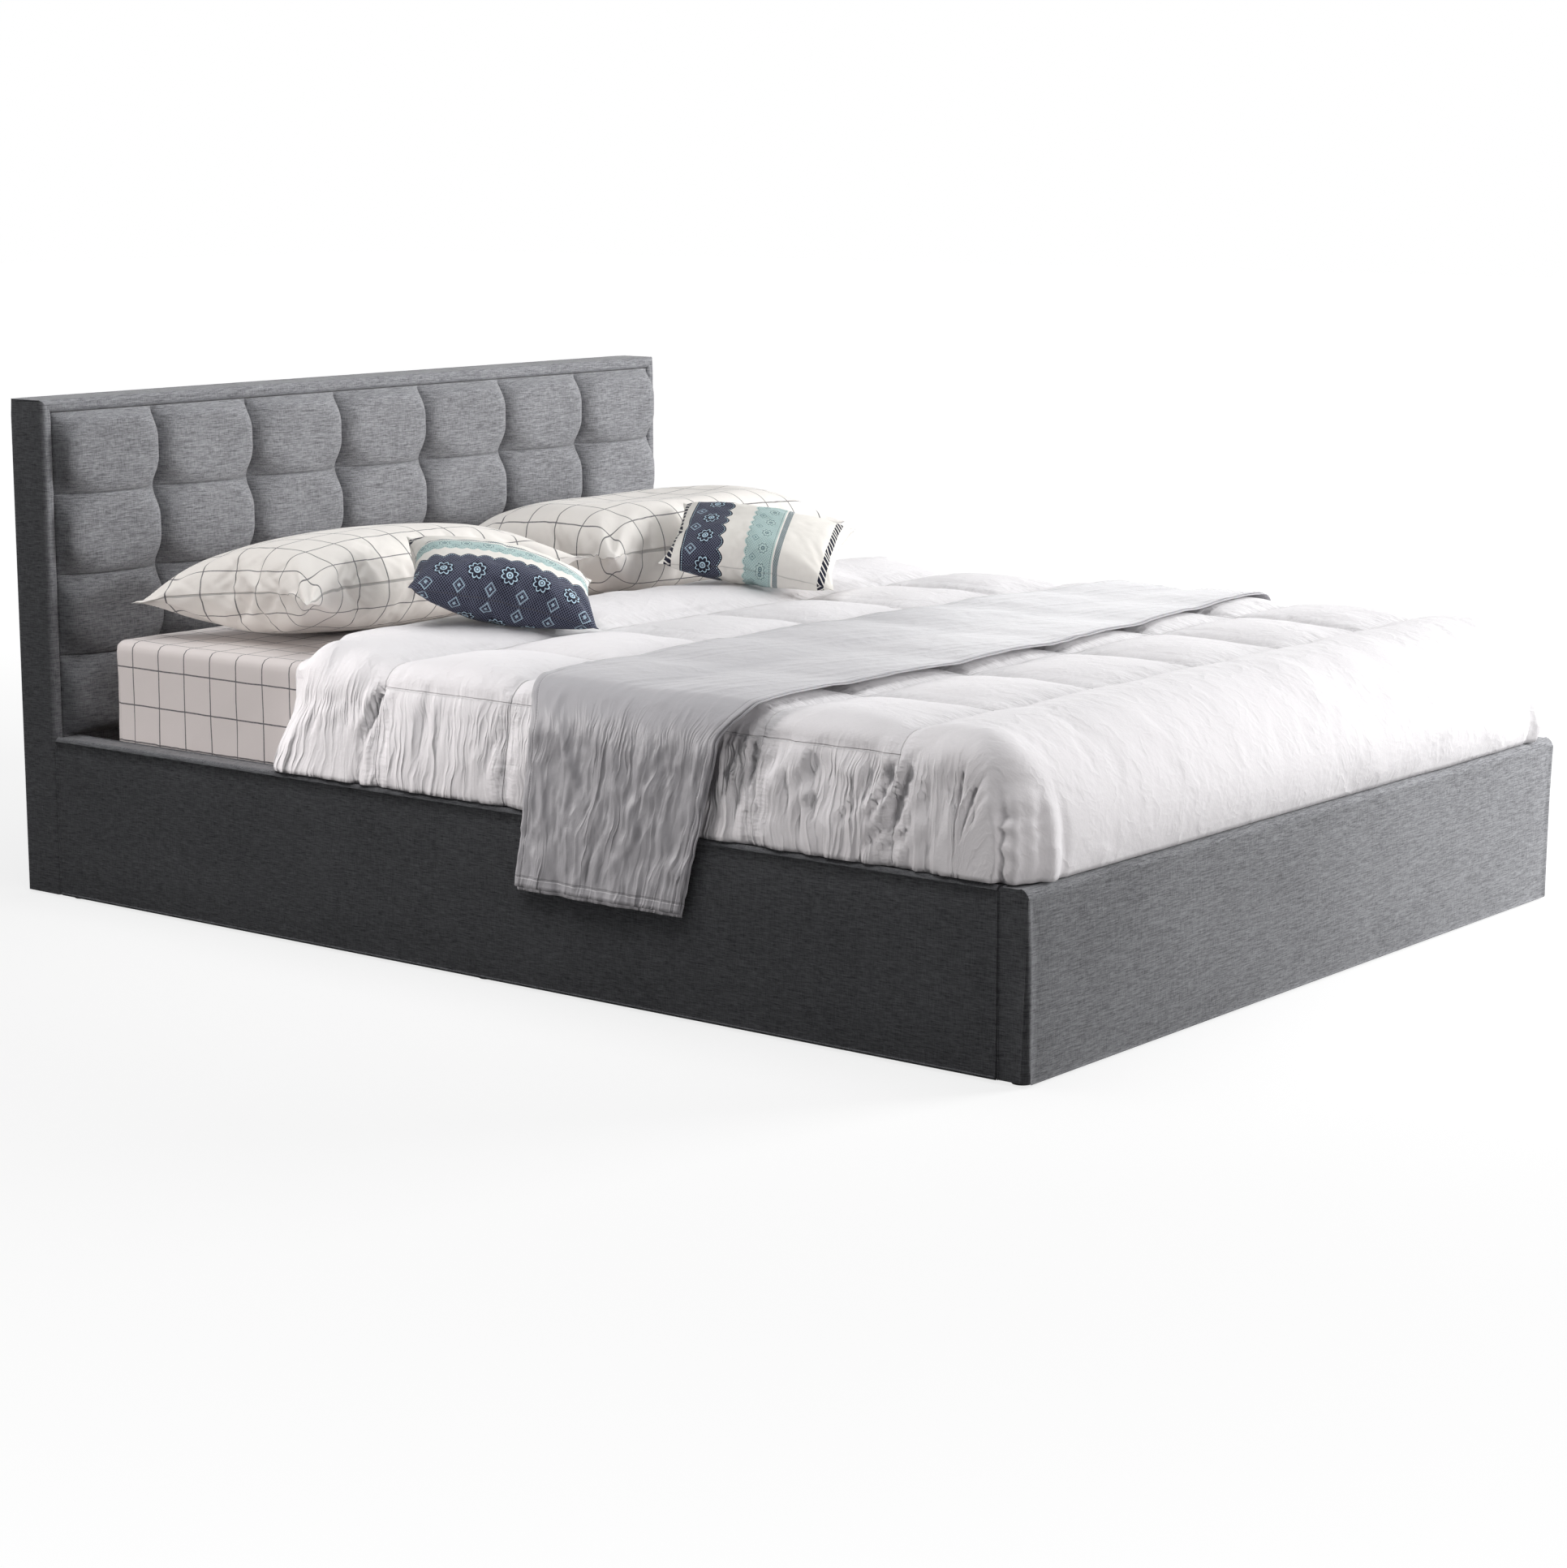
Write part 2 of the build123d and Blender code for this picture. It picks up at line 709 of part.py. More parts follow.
# Pull strap: a loop of webbing sewn to the foot tube
with BuildPart() as pull_strap:
    with BuildSketch(Plane.YZ.offset(-strap_width / 2)) as strap_section:
        with BuildLine():
            for inset in (0, strap_thickness):
                half_height = tube_size / 2 - inset
                ThreePointArc((frame_foot, tube_middle + half_height),
                              (frame_foot - strap_reach + inset, tube_middle),
                              (frame_foot, tube_middle - half_height))
                if inset:
                    Line((frame_foot, tube_middle + half_height), (frame_foot, tube_top))
                    Line((frame_foot, tube_middle - half_height), (frame_foot, tube_bottom))
        make_face()
    extrude(amount=strap_width)
save(pull_strap.part, "pull_strap")

# Mattress and its fitted sheet
core_half = mattress_width / 2 - mattress_inset
core_length = mattress_length - 2 * mattress_inset


def mattress_block(grow, bottom, top):
    with BuildPart() as block:
        with BuildSketch(Plane.XY.offset(bottom)) as plan:
            with Locations((0, mattress_middle)):
                RectangleRounded(2 * (core_half + grow), core_length + 2 * grow, mattress_round + grow)
        extrude(amount=top - bottom)
        fillet(block.edges().group_by(Axis.Z)[-1], radius=mattress_round / 2 + grow)
    return block.part


core_top = mattress_top - mattress_inset
mattress = mattress_block(0, mattress_base, core_top)
save(mattress, "mattress")
with BuildPart() as fitted_sheet:
    add(mattress_block(sheet_thickness, mattress_base + sheet_skirt, core_top + sheet_thickness))
    add(mattress, mode=Mode.SUBTRACT)
save(fitted_sheet.part, "fitted_sheet")

# Duvet: quilted boxes that are arched both ways, with folds round the sides and the foot,
# hollowed where the mattress fills it
duvet_half = mattress_width / 2 + duvet_side
duvet_bottom = side_height + seat_gap
duvet_foot = mattress_foot - duvet_foot_overhang
duvet_head = mattress_head - duvet_head_gap
duvet_top = mattress_top + duvet_loft
foot_shoulder = duvet_foot + duvet_foot_round
with BuildPart() as duvet:
    with BuildSketch(Plane.YZ.offset(-duvet_half)) as duvet_length_section:
        with BuildLine():
            shoulder_base = duvet_top - duvet_foot_round
            reach = duvet_foot_round * (1 - cos(radians(45)))
            ThreePointArc((duvet_foot, shoulder_base), (duvet_foot + reach, duvet_top - reach),
                          (foot_shoulder, duvet_top))
            scallops((duvet_head, duvet_top), (foot_shoulder, duvet_top), duvet_rows, duvet_crown)
            Polyline((duvet_head, duvet_top), (duvet_head, duvet_bottom),
                     (duvet_foot, duvet_bottom), (duvet_foot, shoulder_base))
        make_face()
    extrude(amount=2 * duvet_half)
    with BuildSketch(Plane.XZ.offset(-duvet_head)) as duvet_width_section:
        with BuildLine():
            side_base = duvet_top - duvet_side_round
            top_half = duvet_half - duvet_side_round
            reach = duvet_side_round * (1 - cos(radians(45)))
            for side in (-1, 1):
                ThreePointArc((side * duvet_half, side_base), (side * (duvet_half - reach), duvet_top - reach),
                              (side * top_half, duvet_top))
            scallops((top_half, duvet_top), (-top_half, duvet_top), duvet_columns, duvet_crown)
            Polyline((duvet_half, side_base), (duvet_half, duvet_bottom),
                     (-duvet_half, duvet_bottom), (-duvet_half, side_base))
        make_face()
    extrude(amount=duvet_head - duvet_foot, mode=Mode.INTERSECT)
    with BuildSketch(Plane.XY.offset(duvet_bottom)) as duvet_plan:
        with BuildLine():
            fold_half = duvet_half - duvet_fold_depth
            fold_foot = duvet_foot + duvet_fold_depth
            corner_half = fold_half - duvet_corner_round
            corner_foot = fold_foot + duvet_corner_round
            reach = duvet_corner_round * (1 - cos(radians(45)))
            scallops((fold_half, corner_foot), (fold_half, duvet_head), duvet_side_folds, duvet_fold_depth)
            scallops((-fold_half, duvet_head), (-fold_half, corner_foot), duvet_side_folds, duvet_fold_depth)
            scallops((-corner_half, fold_foot), (corner_half, fold_foot), duvet_foot_folds, duvet_fold_depth)
            for side in (-1, 1):
                ThreePointArc((side * fold_half, corner_foot), (side * (fold_half - reach), fold_foot + reach),
                              (side * corner_half, fold_foot))
            Line((-fold_half, duvet_head), (fold_half, duvet_head))
        make_face()
    extrude(amount=duvet_top + duvet_crown + overrun - duvet_bottom, mode=Mode.INTERSECT)
    hollow_gap = sheet_thickness + seat_gap
    add(mattress_block(hollow_gap, duvet_bottom - overrun, core_top + hollow_gap), mode=Mode.SUBTRACT)
save(duvet.part, "duvet")

# Runner: a band over the duvet that hangs outside both rails in soft folds
runner_head = duvet_head - runner_setback
runner_foot = runner_head - runner_length
runner_under = duvet_top + duvet_crown + seat_gap
runner_wall = half_width + runner_slack
runner_bend = runner_wall - top_half
runner_shoulder = runner_under - runner_bend


def hanging_outline(side, level, depth):
    with BuildSketch(Plane.XY.offset(level)) as outline:
        with BuildLine():
            ends = (runner_foot, runner_head) if side > 0 else (runner_head, runner_foot)
            walls = (side * runner_wall, side * (runner_wall + runner_thickness))
            for wall in walls:
                scallops((wall, ends[0]), (wall, ends[1]), runner_folds, depth)
            for end in ends:
                Line((walls[0], end), (walls[1], end))
        make_face()
    return outline.sketch


with BuildPart() as runner:
    with BuildSketch(Plane.XZ.offset(-runner_head)) as runner_section:
        with BuildLine():
            for grow in (0, runner_thickness):
                wall = runner_wall + grow
                top = runner_under + grow
                bend = runner_bend + grow
                reach = bend * (1 - cos(radians(45)))
                Line((-top_half, top), (top_half, top))
                for side in (-1, 1):
                    ThreePointArc((side * wall, runner_shoulder), (side * (wall - reach), top - reach),
                                  (side * top_half, top))
            for side in (-1, 1):
                Line((side * runner_wall, runner_shoulder),
                     (side * (runner_wall + runner_thickness), runner_shoulder))
        make_face()
    extrude(amount=runner_length)
    for side in (-1, 1):
        loft([hanging_outline(side, runner_shoulder, runner_fold_start),
              hanging_outline(side, side_height - runner_hang, runner_fold_depth)], ruled=True)
save(runner.part, "runner")


# Pillows and cushions: the common part of a lens each way and a plan with drawn-in sides
def stuffed_form(length, width, height, draw):
    half_long = length / 2
    half_short = width / 2
    crown = height / 2
    with BuildPart() as form:
        with BuildSketch(Plane.XY.offset(-crown)) as plan:
            with BuildLine():
                for side in (-1, 1):
                    ThreePointArc((-half_long, side * half_short), (0, side * (half_short - draw)),
                                  (half_long, side * half_short))
                    ThreePointArc((side * half_long, -half_short), (side * (half_long - draw), 0),
                                  (side * half_long, half_short))
            make_face()
        extrude(amount=height)
        for plane, half_span, run in ((Plane.YZ, half_short, half_long), (Plane.XZ, half_long, half_short)):
            with BuildSketch(plane.offset(-run)) as lens:
                with BuildLine():
                    for side in (-1, 1):
                        ThreePointArc((-half_span - stuffed_seam, 0), (0, side * crown),
                                      (half_span + stuffed_seam, 0))
                make_face()
            extrude(amount=2 * run, mode=Mode.INTERSECT)
    return form.part


def leaning(centre, angles):
    turn, lean, spin = angles
    turned = Location(centre, (0, 0, turn)) * Location((0, 0, 0), (lean, 0, 0))
    return turned * Location((0, 0, 0), (0, 0, spin))


pillow_y = mattress_head - pillow_head_gap - pillow_width / 2
pillow_z = mattress_top + pillow_height / 2
pillow_length = pillow_length_share * mattress_width
for side_name, share in (("left", left_pillow_share), ("right", right_pillow_share)):
    pillow = stuffed_form(pillow_length, pillow_width, pillow_height, pillow_draw)
    save(pillow.moved(Location((share * mattress_width, pillow_y, pillow_z))), f"pillow_{side_name}")

cushion_base = duvet_top + duvet_crown
left_cushion_place = (left_cushion_share * mattress_width, duvet_head - left_cushion_run,
                      cushion_base + left_cushion_rise)
right_cushion_place = (right_cushion_share * mattress_width, duvet_head - right_cushion_run,
                       cushion_base + right_cushion_rise)
for side_name, place, angles in (("left", left_cushion_place, left_cushion_angles),
                                 ("right", right_cushion_place, right_cushion_angles)):
    cushion = stuffed_form(cushion_length, cushion_width, cushion_height, cushion_draw)
    save(cushion.moved(leaning(place, angles)), f"cushion_{side_name}")
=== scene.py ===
from contextlib import contextmanager
import json
import math
import bpy
import numpy as np
from mathutils import Matrix, Vector
from mathutils.bvhtree import BVHTree

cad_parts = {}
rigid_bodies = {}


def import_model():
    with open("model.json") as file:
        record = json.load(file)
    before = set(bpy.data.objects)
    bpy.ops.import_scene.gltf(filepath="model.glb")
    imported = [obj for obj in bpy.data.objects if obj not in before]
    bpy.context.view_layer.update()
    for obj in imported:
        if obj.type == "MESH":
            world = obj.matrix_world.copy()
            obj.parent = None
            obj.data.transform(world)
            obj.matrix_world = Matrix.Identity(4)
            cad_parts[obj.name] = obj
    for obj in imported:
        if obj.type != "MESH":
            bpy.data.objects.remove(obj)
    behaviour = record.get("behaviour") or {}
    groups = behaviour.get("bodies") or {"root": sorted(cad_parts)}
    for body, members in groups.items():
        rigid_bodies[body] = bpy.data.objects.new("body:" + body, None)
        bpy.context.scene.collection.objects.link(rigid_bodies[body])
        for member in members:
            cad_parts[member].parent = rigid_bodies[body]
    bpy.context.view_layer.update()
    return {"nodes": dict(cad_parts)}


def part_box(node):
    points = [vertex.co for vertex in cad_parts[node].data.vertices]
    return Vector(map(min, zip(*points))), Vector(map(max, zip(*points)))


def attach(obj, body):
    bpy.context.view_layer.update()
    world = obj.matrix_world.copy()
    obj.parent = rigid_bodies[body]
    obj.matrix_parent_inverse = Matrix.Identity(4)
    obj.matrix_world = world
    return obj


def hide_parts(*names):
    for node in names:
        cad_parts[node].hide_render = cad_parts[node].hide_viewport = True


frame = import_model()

print("frame loaded:", len(frame["nodes"]), "parts")


def clearSelection():
    if bpy.context.object and bpy.context.object.mode != "OBJECT":
        bpy.ops.object.mode_set(mode="OBJECT")
    bpy.ops.object.select_all(action="DESELECT")


def pick(piece):  # make one piece the only selected one
    clearSelection()
    piece.select_set(True)
    bpy.context.view_layer.objects.active = piece


@contextmanager
def editing(piece, action="SELECT"):  # edit mode, with all or none of the piece selected
    pick(piece)
    bpy.ops.object.mode_set(mode="EDIT")
    bpy.ops.mesh.select_all(action=action)
    yield
    bpy.ops.object.mode_set(mode="OBJECT")


def named(piece, name):
    piece.name = piece.data.name = name
    return piece


def places(piece):
    flat = np.empty(len(piece.data.vertices) * 3)
    piece.data.vertices.foreach_get("co", flat)
    return flat.reshape(-1, 3)


def setPlaces(piece, spots):
    piece.data.vertices.foreach_set("co", np.asarray(spots, float).ravel())
    piece.data.update()


def smoothStep(low, high, value):
    t = np.clip((value - low) / (high - low), 0, 1)
    return t * t * (3 - 2 * t)


def bell(value, width):
    return np.exp(-(value / width) ** 2)


def drift(a, b, seed, octaves=3):  # smooth seeded noise over two coordinates, about -1 to 1
    lattice = np.random.default_rng(seed).uniform(-1, 1, (64, 64))
    total, weight, power = 0, 1, 0
    for octave in range(octaves):
        x, y = a * 2 ** octave + octave * 7.3, b * 2 ** octave + octave * 3.1
        col, row = np.floor(x).astype(int), np.floor(y).astype(int)
        fx, fy = smoothStep(0, 1, x - col), smoothStep(0, 1, y - row)
        left, right, low, high = col % 64, (col + 1) % 64, row % 64, (row + 1) % 64
        near = lattice[left, low] * (1 - fx) + lattice[right, low] * fx
        far = lattice[left, high] * (1 - fx) + lattice[right, high] * fx
        total = total + weight * (near * (1 - fy) + far * fy)
        power += weight
        weight *= 0.5
    return total / power * 1.6


def creases(a, b, seed, octaves=2):  # sharp-topped folds, 0 to 1
    return 1 - np.clip(np.abs(drift(a, b, seed, octaves)) * 2.2, 0, 1)


def raised(base, height):  # push a surface out along its own normal
    def surface(u, v):
        step = 1e-4
        normal = np.cross(base(u + step, v) - base(u - step, v), base(u, v + step) - base(u, v - step))
        normal /= np.maximum(np.linalg.norm(normal, axis=1), 1e-12)[:, None]
        return base(u, v) + normal * height(u, v)[:, None]
    return surface


def clothGrid(name, columns, rows, shape, cloth):  # a flat grid bent into place, with its flat size kept as UV
    clearSelection()
    bpy.ops.mesh.primitive_grid_add(x_subdivisions=columns, y_subdivisions=rows, size=2)
    piece = named(bpy.context.object, name)
    flat = places(piece)
    corners = np.empty(len(piece.data.loops), int)
    piece.data.loops.foreach_get("vertex_index", corners)
    layer = piece.data.uv_layers[0]
    layer.name = "cloth"
    layer.data.foreach_set("uv", (flat[corners, :2] * np.array(cloth) / 2).ravel())
    setPlaces(piece, shape(flat[:, 0], flat[:, 1]))
    return piece


def gridValues(columns, rows):  # the same places as a cloth grid has before it is bent
    u, v = np.meshgrid(np.linspace(-1, 1, columns + 1), np.linspace(-1, 1, rows + 1))
    return u.ravel(), v.ravel()


def join(upper, lower, name, weld=2e-5):  # two faces sewn round their edge
    with editing(lower):
        bpy.ops.mesh.flip_normals()
    pick(upper)
    lower.select_set(True)
    bpy.ops.object.join()
    joined = named(bpy.context.object, name)
    with editing(joined):
        bpy.ops.mesh.remove_doubles(threshold=weld)
        bpy.ops.mesh.normals_make_consistent(inside=False)
    return joined


def smooth(piece, angle=None):
    pick(piece)
    if angle is None:
        bpy.ops.object.shade_smooth()
    else:
        bpy.ops.object.shade_smooth_by_angle(angle=math.radians(angle))


def applyModifier(piece, kind, **settings):
    pick(piece)
    made = piece.modifiers.new(kind.title(), kind)
    for key, value in settings.items():
        setattr(made, key, value)
    bpy.ops.object.modifier_apply(modifier=made.name)


def inflate(piece, settings, pins=(), slack=None):
    # blow a sewn shell up for a few frames, holding the pinned points
    before = places(piece)
    pick(piece)
    cloth = piece.modifiers.new("Cloth", "CLOTH")
    cloth.settings.quality = 5
    cloth.settings.use_pressure = True
    cloth.settings.uniform_pressure_force = settings["pressure"]
    cloth.settings.bending_stiffness = settings["bending"]
    cloth.settings.effector_weights.gravity = 0
    cloth.collision_settings.use_collision = False
    cloth.point_cache.frame_start = 1
    cloth.point_cache.frame_end = settings["frames"]
    if len(pins):
        group = piece.vertex_groups.new(name="held")
        group.add([int(index) for index in pins], 1.0, "REPLACE")
        cloth.settings.vertex_group_mass = "held"
    if slack is not None:  # cloth cut larger where the weight is high
        group = piece.vertex_groups.new(name="slack")
        for level in range(1, 11):
            group.add(np.nonzero(np.round(slack * 10) == level)[0].tolist(), level / 10, "REPLACE")
        cloth.settings.vertex_group_shrink = "slack"
        cloth.settings.shrink_max = -settings["wallSlack"]
    for number in range(1, settings["frames"] + 1):
        bpy.context.scene.frame_set(number)
    bpy.ops.object.modifier_apply(modifier=cloth.name)
    bpy.context.scene.frame_set(1)
    piece.vertex_groups.clear()
    moved = places(piece) - before
    length = np.maximum(np.linalg.norm(moved, axis=1), 1e-9)
    setPlaces(piece, before + moved * (np.minimum(length, settings["cap"]) / length)[:, None])
    print("simulated", piece.name, "moved up to", round(float(length.max()) * 1000, 1), "mm")


def settle(piece, body, material, stands):  # finish, body and the parts it stands for
    piece.data.materials.clear()
    piece.data.materials.append(material)
    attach(piece, body)
    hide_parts(*stands)


class Wire:  # a shader value that takes sums as a number does
    def __init__(self, socket):
        self.socket = socket

    def __add__(self, other):
        return maths("ADD", self, other)

    def __sub__(self, other):
        return maths("SUBTRACT", self, other)

    def __rsub__(self, other):
        return maths("SUBTRACT", other, self)

    def __mul__(self, other):
        return maths("MULTIPLY", self, other)

    def __truediv__(self, other):
        return maths("DIVIDE", self, other)

    def __pow__(self, other):
        return maths("POWER", self, other)

    def __abs__(self):
        return maths("ABSOLUTE", self)

    def __gt__(self, other):
        return maths("GREATER_THAN", self, other)

    def __lt__(self, other):
        return maths("LESS_THAN", self, other)

    def clamped(self):
        self.socket.node.use_clamp = True
        return self


def treeOf(values):  # the node tree that these wires lie in
    return next(value.socket.id_data for value in values if isinstance(value, Wire))


def feed(socket, value):  # links a wire, sets a number or colour
    if isinstance(value, Wire):
        socket.id_data.links.new(value.socket, socket)
    else:
        socket.default_value = value


def maths(operation, *values):
    made = treeOf(values).nodes.new("ShaderNodeMath")
    made.operation = operation
    for socket, value in zip(made.inputs, values):
        feed(socket, value)
    return Wire(made.outputs[0])


def least(first, second):
    return maths("MINIMUM", first, second)


def most(first, second):
    return maths("MAXIMUM", first, second)


def place(kind, settings=None, output=0, tree=None, **sockets):  # adds a node and gives one of its outputs
    made = (tree or treeOf(sockets.values())).nodes.new("ShaderNode" + kind)
    for key, value in (settings or {}).items():
        setattr(made, key, value)
    for key, value in sockets.items():
        feed(made.inputs[int(key[2:])] if key[2:].isdigit() else made.inputs[key.replace("_", " ")], value)
    return Wire(made.outputs[output])


def mixColour(factor, first, second):
    return place("Mix", {"data_type": "RGBA"}, 2, at0=factor, at6=first, at7=second)


def ramp(value, low, high, start=0.0, end=1.0):  # an even bend from one level to the other
    return place("MapRange", {"interpolation_type": "SMOOTHSTEP"}, Value=value, From_Min=low, From_Max=high,
                 To_Min=start, To_Max=end)


def split(vector):
    return [Wire(socket) for socket in place("SeparateXYZ", Vector=vector).socket.node.outputs]


def noiseAt(vector, scale, stretch=(1, 1, 1), detail=3.0, roughness=0.55):
    mapped = place("Mapping", Vector=vector, Scale=stretch)
    return place("TexNoise", Vector=mapped, Scale=scale, Detail=detail, Roughness=roughness)


def rgb(red, green, blue):  # an sRGB colour, 0-255, as the linear one that shaders take
    def linear(c):
        c /= 255
        return c / 12.92 if c <= 0.04045 else ((c + 0.055) / 1.055) ** 2.4
    return (linear(red), linear(green), linear(blue), 1)


anyColour = (0.5, 0.5, 0.5, 1)


def newGroup(name, **inputs):  # None stands for a vector, four numbers for a colour
    group = bpy.data.node_groups.new(name, "ShaderNodeTree")
    for label, value in inputs.items():
        kind = "Vector" if value is None else "Color" if isinstance(value, tuple) else "Float"
        socket = group.interface.new_socket(name=label, in_out="INPUT", socket_type="NodeSocket" + kind)
        if value is not None:
            socket.default_value = value
    entry = group.nodes.new("NodeGroupInput").outputs
    return group, [Wire(entry[label]) for label in inputs]


def closeGroup(group, **wires):
    for label in wires:
        kind = "Color" if label == "Color" else "Float"
        group.interface.new_socket(name=label, in_out="OUTPUT", socket_type="NodeSocket" + kind)
    ends = group.nodes.new("NodeGroupOutput").inputs
    for label, wire in wires.items():
        feed(ends[label], wire)
    return group


def useGroup(group, **sockets):
    made = treeOf(sockets.values()).nodes.new("ShaderNodeGroup")
    made.node_tree = group
    for key, value in sockets.items():
        feed(made.inputs[key], value)
    return {socket.name: Wire(socket) for socket in made.outputs}


def newMaterial(name, **fixed):  # values that are the same all over stay on the shader
    material = bpy.data.materials.new(name)
    material.use_nodes = True
    for key, value in fixed.items():
        material.node_tree.nodes["Principled BSDF"].inputs[key.replace("_", " ")].default_value = value
    return material, material.node_tree


def dress(material, colour, height, distance, strength=0.5, roughness=None):
    sockets = material.node_tree.nodes["Principled BSDF"].inputs
    feed(sockets["Base Color"], colour)
    if roughness is not None:
        feed(sockets["Roughness"], roughness)
    feed(sockets["Normal"], place("Bump", Strength=strength, Distance=distance, Height=height))
    return material


def objectSpot(tree, stretch=None):
    spot = place("TexCoord", output="Object", tree=tree)
    return spot if stretch is None else place("Mapping", Vector=spot, Scale=stretch)


def makeLinenGroup():  # slubs along the threads on upright faces and on top faces, with a mottled tone
    group, (vector, dark, light, slubShare) = newGroup(
        "slubWeave", Vector=None, Dark=anyColour, Light=anyColour, Slub=1.0)
    facing = split(place("NewGeometry", output="Normal", tree=group))[2]
    upright = noiseAt(vector, 1.0, (46, 46, 600), 3.0, 0.6)
    level = noiseAt(vector, 1.0, (46, 600, 46), 3.0, 0.6)
    slub = place("Mix", Factor=abs(facing) > 0.72, at2=upright, at3=level)
    warp = noiseAt(vector, 1.0, (640, 640, 80), 2.0)
    fine = noiseAt(vector, 1.0, (100, 100, 900), 2.0)
    woven = slub * 0.48 + warp * 0.27 + fine * 0.25
    spread = ((woven - 0.5) * 4.2 * slubShare + 0.5).clamped()
    toned = (spread + (noiseAt(vector, 5.0, (1, 1, 1), 2.0) - 0.5) * 0.35).clamped()
    return closeGroup(group, Color=mixColour(toned, dark, light), Roughness=spread * -0.12 + 0.9, Height=woven)


def makeGridGroup():  # thin printed lines both ways at one spacing, read from the cloth's own flat size
    group, (vector, spacing, line, shiftU, shiftV) = newGroup(
        "printedGrid", Vector=None, Spacing=0.069, Line=0.0022, ShiftU=0.0, ShiftV=0.0)
    u, v, _ = split(vector)
    waver = (noiseAt(vector, 9.0) - 0.5) * 0.004
    acrossLine, alongLine = (maths("PINGPONG", flat + waver, spacing * 0.5) for flat in (u + shiftU, v + shiftV))
    edge = ramp(least(acrossLine, alongLine), line * 0.5, line * 0.85, 1.0, 0.0)
    return closeGroup(group, Mask=(edge * (noiseAt(vector, 260.0) * 0.5 + 0.62)).clamped())


def makeCottonGroup():  # fine crossed threads for smooth cotton
    group, (vector, threads) = newGroup("cottonThreads", Vector=None, Threads=4200.0)
    wide = place("VectorMath", {"operation": "SCALE"}, at0=vector, Scale=threads)
    rows, columns, layers = (maths("SINE", part) for part in split(wide))
    crumple = noiseAt(vector, 26.0, (1, 1, 1), 5.0, 0.6)
    return closeGroup(group, Height=(rows + columns + layers) * 0.012 + crumple, Tone=crumple)


def makeGatherGroup():  # sharp irregular folds that run down the hanging sides, and light crumples elsewhere
    group, (vector, start, top, foot, scale) = newGroup(
        "gatheredCloth", Vector=None, Start=0.8, Top=0.1, Foot=-9.0, Scale=1.0)
    u, v, _ = split(vector)
    sway = (noiseAt(vector, 9.0, (1, 1, 1), 2.0, 0.5) - 0.5) * 0.055
    scaled = place("VectorMath", {"operation": "SCALE"}, at0=place("CombineXYZ", X=u, Y=sway + v), Scale=scale)

    def ridge(stretch, detail=1.5, roughness=0.5, sharp=5.0, power=1.8):
        slope = (abs(noiseAt(scaled, 1.0, stretch, detail, roughness) - 0.5) * sharp).clamped()
        return (1.0 - slope) ** power

    fineShare = ramp(abs(u), start, start + 0.11, 0.34, 0.09)
    folds = ridge((2.6, 18, 1)) * 0.60 + ridge((5.5, 40, 1)) * 0.34 + ridge((11, 85, 1)) * fineShare
    patches = ramp(noiseAt(scaled, 5.0, (0.7, 1.2, 1), 2.0), 0.36, 0.62, 0.25, 1.0)
    crumples = ridge((13, 13, 1), 3.0, 0.55, 6.0, 2.0) * top
    onSide = ramp(abs(u), start - 0.05, start + 0.05) * (v > foot)
    return closeGroup(group, Height=place("Mix", Factor=onSide, at2=crumples, at3=folds * patches))


slubWeave = makeLinenGroup()
gatheredCloth = makeGatherGroup()
printedGrid = makeGridGroup()
cottonThreads = makeCottonGroup()

linenTones = {"dark": rgb(101, 101, 105), "light": rgb(178, 179, 183), "slub": 0.9, "sheen": 0.25}


def linen(name):
    material, tree = newMaterial(name, Sheen_Weight=linenTones["sheen"], Sheen_Roughness=0.45, Specular_IOR_Level=0.25)
    weave = useGroup(slubWeave, Vector=objectSpot(tree), Dark=linenTones["dark"], Light=linenTones["light"],
                     Slub=linenTones["slub"])
    return dress(material, weave["Color"], weave["Height"], 0.0012, roughness=weave["Roughness"])


greyLinen = linen("greyLinen")
print("cloth shaders ready")


def nearestLine(value, lines, limits, along):  # distance to the nearest of some straight lines
    best = abs(value - lines[0])
    for line in lines[1:]:
        best = least(best, abs(value - line))
    if limits:  # the lines stop beyond these
        best = most(best, most(limits[0] - along, along - limits[1]))
    return best


def lineMask(gap, width):
    return ramp(gap, width * 0.4, width, 1.0, 0.0)


